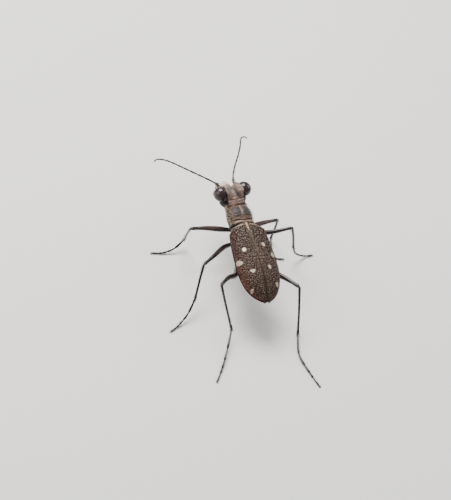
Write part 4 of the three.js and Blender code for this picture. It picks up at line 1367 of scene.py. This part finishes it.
def make_leg_bristles(name, pair, leg, seed):
    """Short bristles on the thigh, longer ones in rows on the shin, and fine ones on the foot."""
    coat = Coat(seed)
    coat.along_limb(femur_path(leg), FEMUR_RADIUS[pair], (0.08, 0.94), 4, 13, 0.4, 0.1, (0.0, 0.3))
    coat.along_limb(tibia_path(leg), TIBIA_RADIUS, (0.05, 0.97), 4, 12, 0.85, 0.19, (0.33, 0.3))
    coat.along_limb(Path([leg["ankle"], *leg["toes"]]), 0.07, (0.03, 0.97), 3, 12, 0.6, 0.08, (0.66, 0.3))
    make_coat(name, coat, PALE_HAIR, thickness=0.045, bend=0.15, spread=0.15)


def make_leg(pair, side_name, seed):
    leg = leg_joints(pair, side_name)
    name = f"{pair}_{side_name}"
    make_femur(f"{name}_femur", pair, leg)
    make_tibia(f"{name}_tibia", leg)
    make_tarsus(f"{name}_tarsus", leg)
    make_claws(f"{name}_claws", leg)
    make_leg_bristles(f"{name}_bristles", pair, leg, seed)


# ---- underside ----

belly_depth = profile((0.18, -1.9), (1.2, -2.2), (3.0, -2.22), (5.0, -2.1), (6.95, -1.85))
BELLY_PLATES = 6
BELLY_TUCK = 0.14
WING_ROOM = 0.2


def trunk_rings(front, rear, rings, sides, fullness):
    """Rings of the trunk under the wing cases, tucked up inside them."""
    t = np.linspace(0, 1, rings)[:, None]
    y = front + t * (rear - front)
    v = np.clip((y - WING_BASE) / WING_LENGTH, 0, 1)
    angle = round_angles(sides)
    size = fullness(t)
    level = wing_margin(v)
    tuck = 1 - BELLY_TUCK * np.maximum(-np.sin(angle), 0)
    wide = np.maximum(wing_half_width(v) - WING_ROOM, WING_ROOM) * tuck * size
    up = (wing_ridge(v) - level - WING_ROOM) * size
    skin = square_rings(y, level, wide, up, (level - belly_depth(y)) * size, angle, 2.2)
    return skin, t + 0 * angle, angle + 0 * t


def make_thorax():
    """The trunk between the legs, with seams below and pale hair along its sides."""
    rings, t, angle = trunk_rings(0.1, 3.35, 110, 144, edge_fall(0.04, 0.75))
    y = rings[..., 1]
    under = smooth_step(0.1, -0.2, np.sin(angle))
    seams = bump_at(y, 1.35 + 0.35 * np.abs(rings[..., 0]), 0.03)
    seams = seams + bump_at(np.abs(np.cos(angle)), 0.78, 0.015)
    middle = bump_at(rings[..., 0], 0, 0.03) * smooth_step(1.3, 1.5, y)
    relief = 0.01 * grain(rings, 0.15, 41) + 0.006 * grain(rings, 0.05, 43)
    relief -= (0.05 * seams + 0.03 * middle) * under
    rings = rings + outward(rings) * relief[..., None]
    shape = Shape(rings, groove=seams * under)
    limb(shape, [(0, -0.35, -0.95), (0, 0.0, -1.0), (0, 0.4, -1.05)], 0.82, 16, 48, height=0.85, dome=0.1)
    for pair, lift in (("mid", 0.7), ("hind", 0.65)):
        for side in SIDES.values():
            steps = (-0.4, -0.12, lift), (-0.18, -0.04, 0.18)
            add_hip(shape, pair, side, steps, profile((0, 0.5), (0.5, 0.4), (1, 0.2)))
    make_piece("thorax", shape, "belly", TRUNK)
    coat = Coat(71)
    beside = bump_at(np.sin(angle), -0.45, 0.4) * smooth_step(0.04, 0.12, t)
    coat.over_skin(rings, beside, 520, (0.35, (0, 0.55, -0.15)), 0.24, (0.0, 0.95))
    make_coat("thorax_hair", coat, PALE_HAIR, TRUNK, thickness=0.055, bend=0.2, spread=0.2)


def make_abdomen():
    """A belly of overlapping plates, rounded at the rear, with pale hair along its sides."""

    def fullness(t):
        step = 1 - 0.02 * smooth_step(0.8, 1.0, (t * BELLY_PLATES) % 1)
        return step * np.sqrt(1 - (np.maximum(t - 0.8, 0) / 0.21) ** 2)

    rings, t, angle = trunk_rings(3.25, 7.0, 150, 128, fullness)
    within = (t * BELLY_PLATES) % 1
    seams = np.maximum(bump_at(within, 0, 0.035), bump_at(within, 1, 0.035))
    under = smooth_step(0.2, -0.1, np.sin(angle))
    relief = -0.04 * seams * under + 0.006 * grain(rings, 0.06, 51) + 0.012 * grain(rings, 0.3, 53)
    rings = rings + outward(rings) * relief[..., None]
    shape = Shape(rings, groove=seams * under)
    make_piece("abdomen", shape, "belly", TRUNK)
    coat = Coat(81)
    beside = bump_at(np.sin(angle), -0.5, 0.35) * smooth_step(0.95, 0.85, t)
    coat.over_skin(rings, beside, 520, (0.25, (0, 0.6, -0.1)), 0.2, (0.0, 0.95))
    make_coat("abdomen_hair", coat, PALE_HAIR, TRUNK, thickness=0.055, bend=0.2, spread=0.2)


make_wing_cases()
make_scutellum()
make_prothorax()
make_head()
make_eyes()
make_lip()
make_mandibles()
make_palps()
make_feelers()
for leg_number, (leg_pair, leg_side) in enumerate((pair, side) for pair in HIPS for side in SIDES):
    make_leg(leg_pair, leg_side, leg_number)
make_thorax()
make_abdomen()

# ---- floor and light ----

FLOOR_REACH = 0.6


def make_floor():
    """A plain pale sheet under the beetle."""
    mesh = bpy.data.meshes.new("floor")
    corners = [(x * FLOOR_REACH, y * FLOOR_REACH, 0) for x, y in ((-1, -1), (1, -1), (1, 1), (-1, 1))]
    mesh.from_pydata(corners, [], [(0, 1, 2, 3)])
    material = bpy.data.materials.new("pale floor")
    material.use_nodes = True
    shader = material.node_tree.nodes["Principled BSDF"]
    shader.inputs["Base Color"].default_value = (0.80, 0.785, 0.765, 1)
    shader.inputs["Roughness"].default_value = 0.8
    mesh.materials.append(material)
    floor = link("floor", mesh)


LIGHT_TARGET = Vector((0, 0, 3))


def make_light(name, place, size, power, colour):
    """A square soft light aimed at the beetle, placed in millimetres."""
    data = bpy.data.lights.new(name, "AREA")
    data.energy = power
    data.size = size * MM
    data.color = colour
    light = link(name, data)
    light.location = Vector(place) * MM
    light.rotation_euler = (LIGHT_TARGET - Vector(place)).to_track_quat("-Z", "Y").to_euler()


def make_world():
    world = bpy.data.worlds.new("studio")
    world.use_nodes = True
    shade = world.node_tree.nodes["Background"]
    shade.inputs["Color"].default_value = (0.97, 0.98, 1.0, 1)
    shade.inputs["Strength"].default_value = 0.5
    bpy.context.scene.world = world


make_floor()
make_light("open_sky", (22, -86, 150), 95, 0.54, (1.0, 0.985, 0.97))
make_light("left_sky", (140, -20, 90), 110, 0.13, (1.0, 0.98, 0.96))
make_light("right_sky", (-150, -30, 100), 110, 0.10, (1.0, 0.98, 0.96))
make_world()
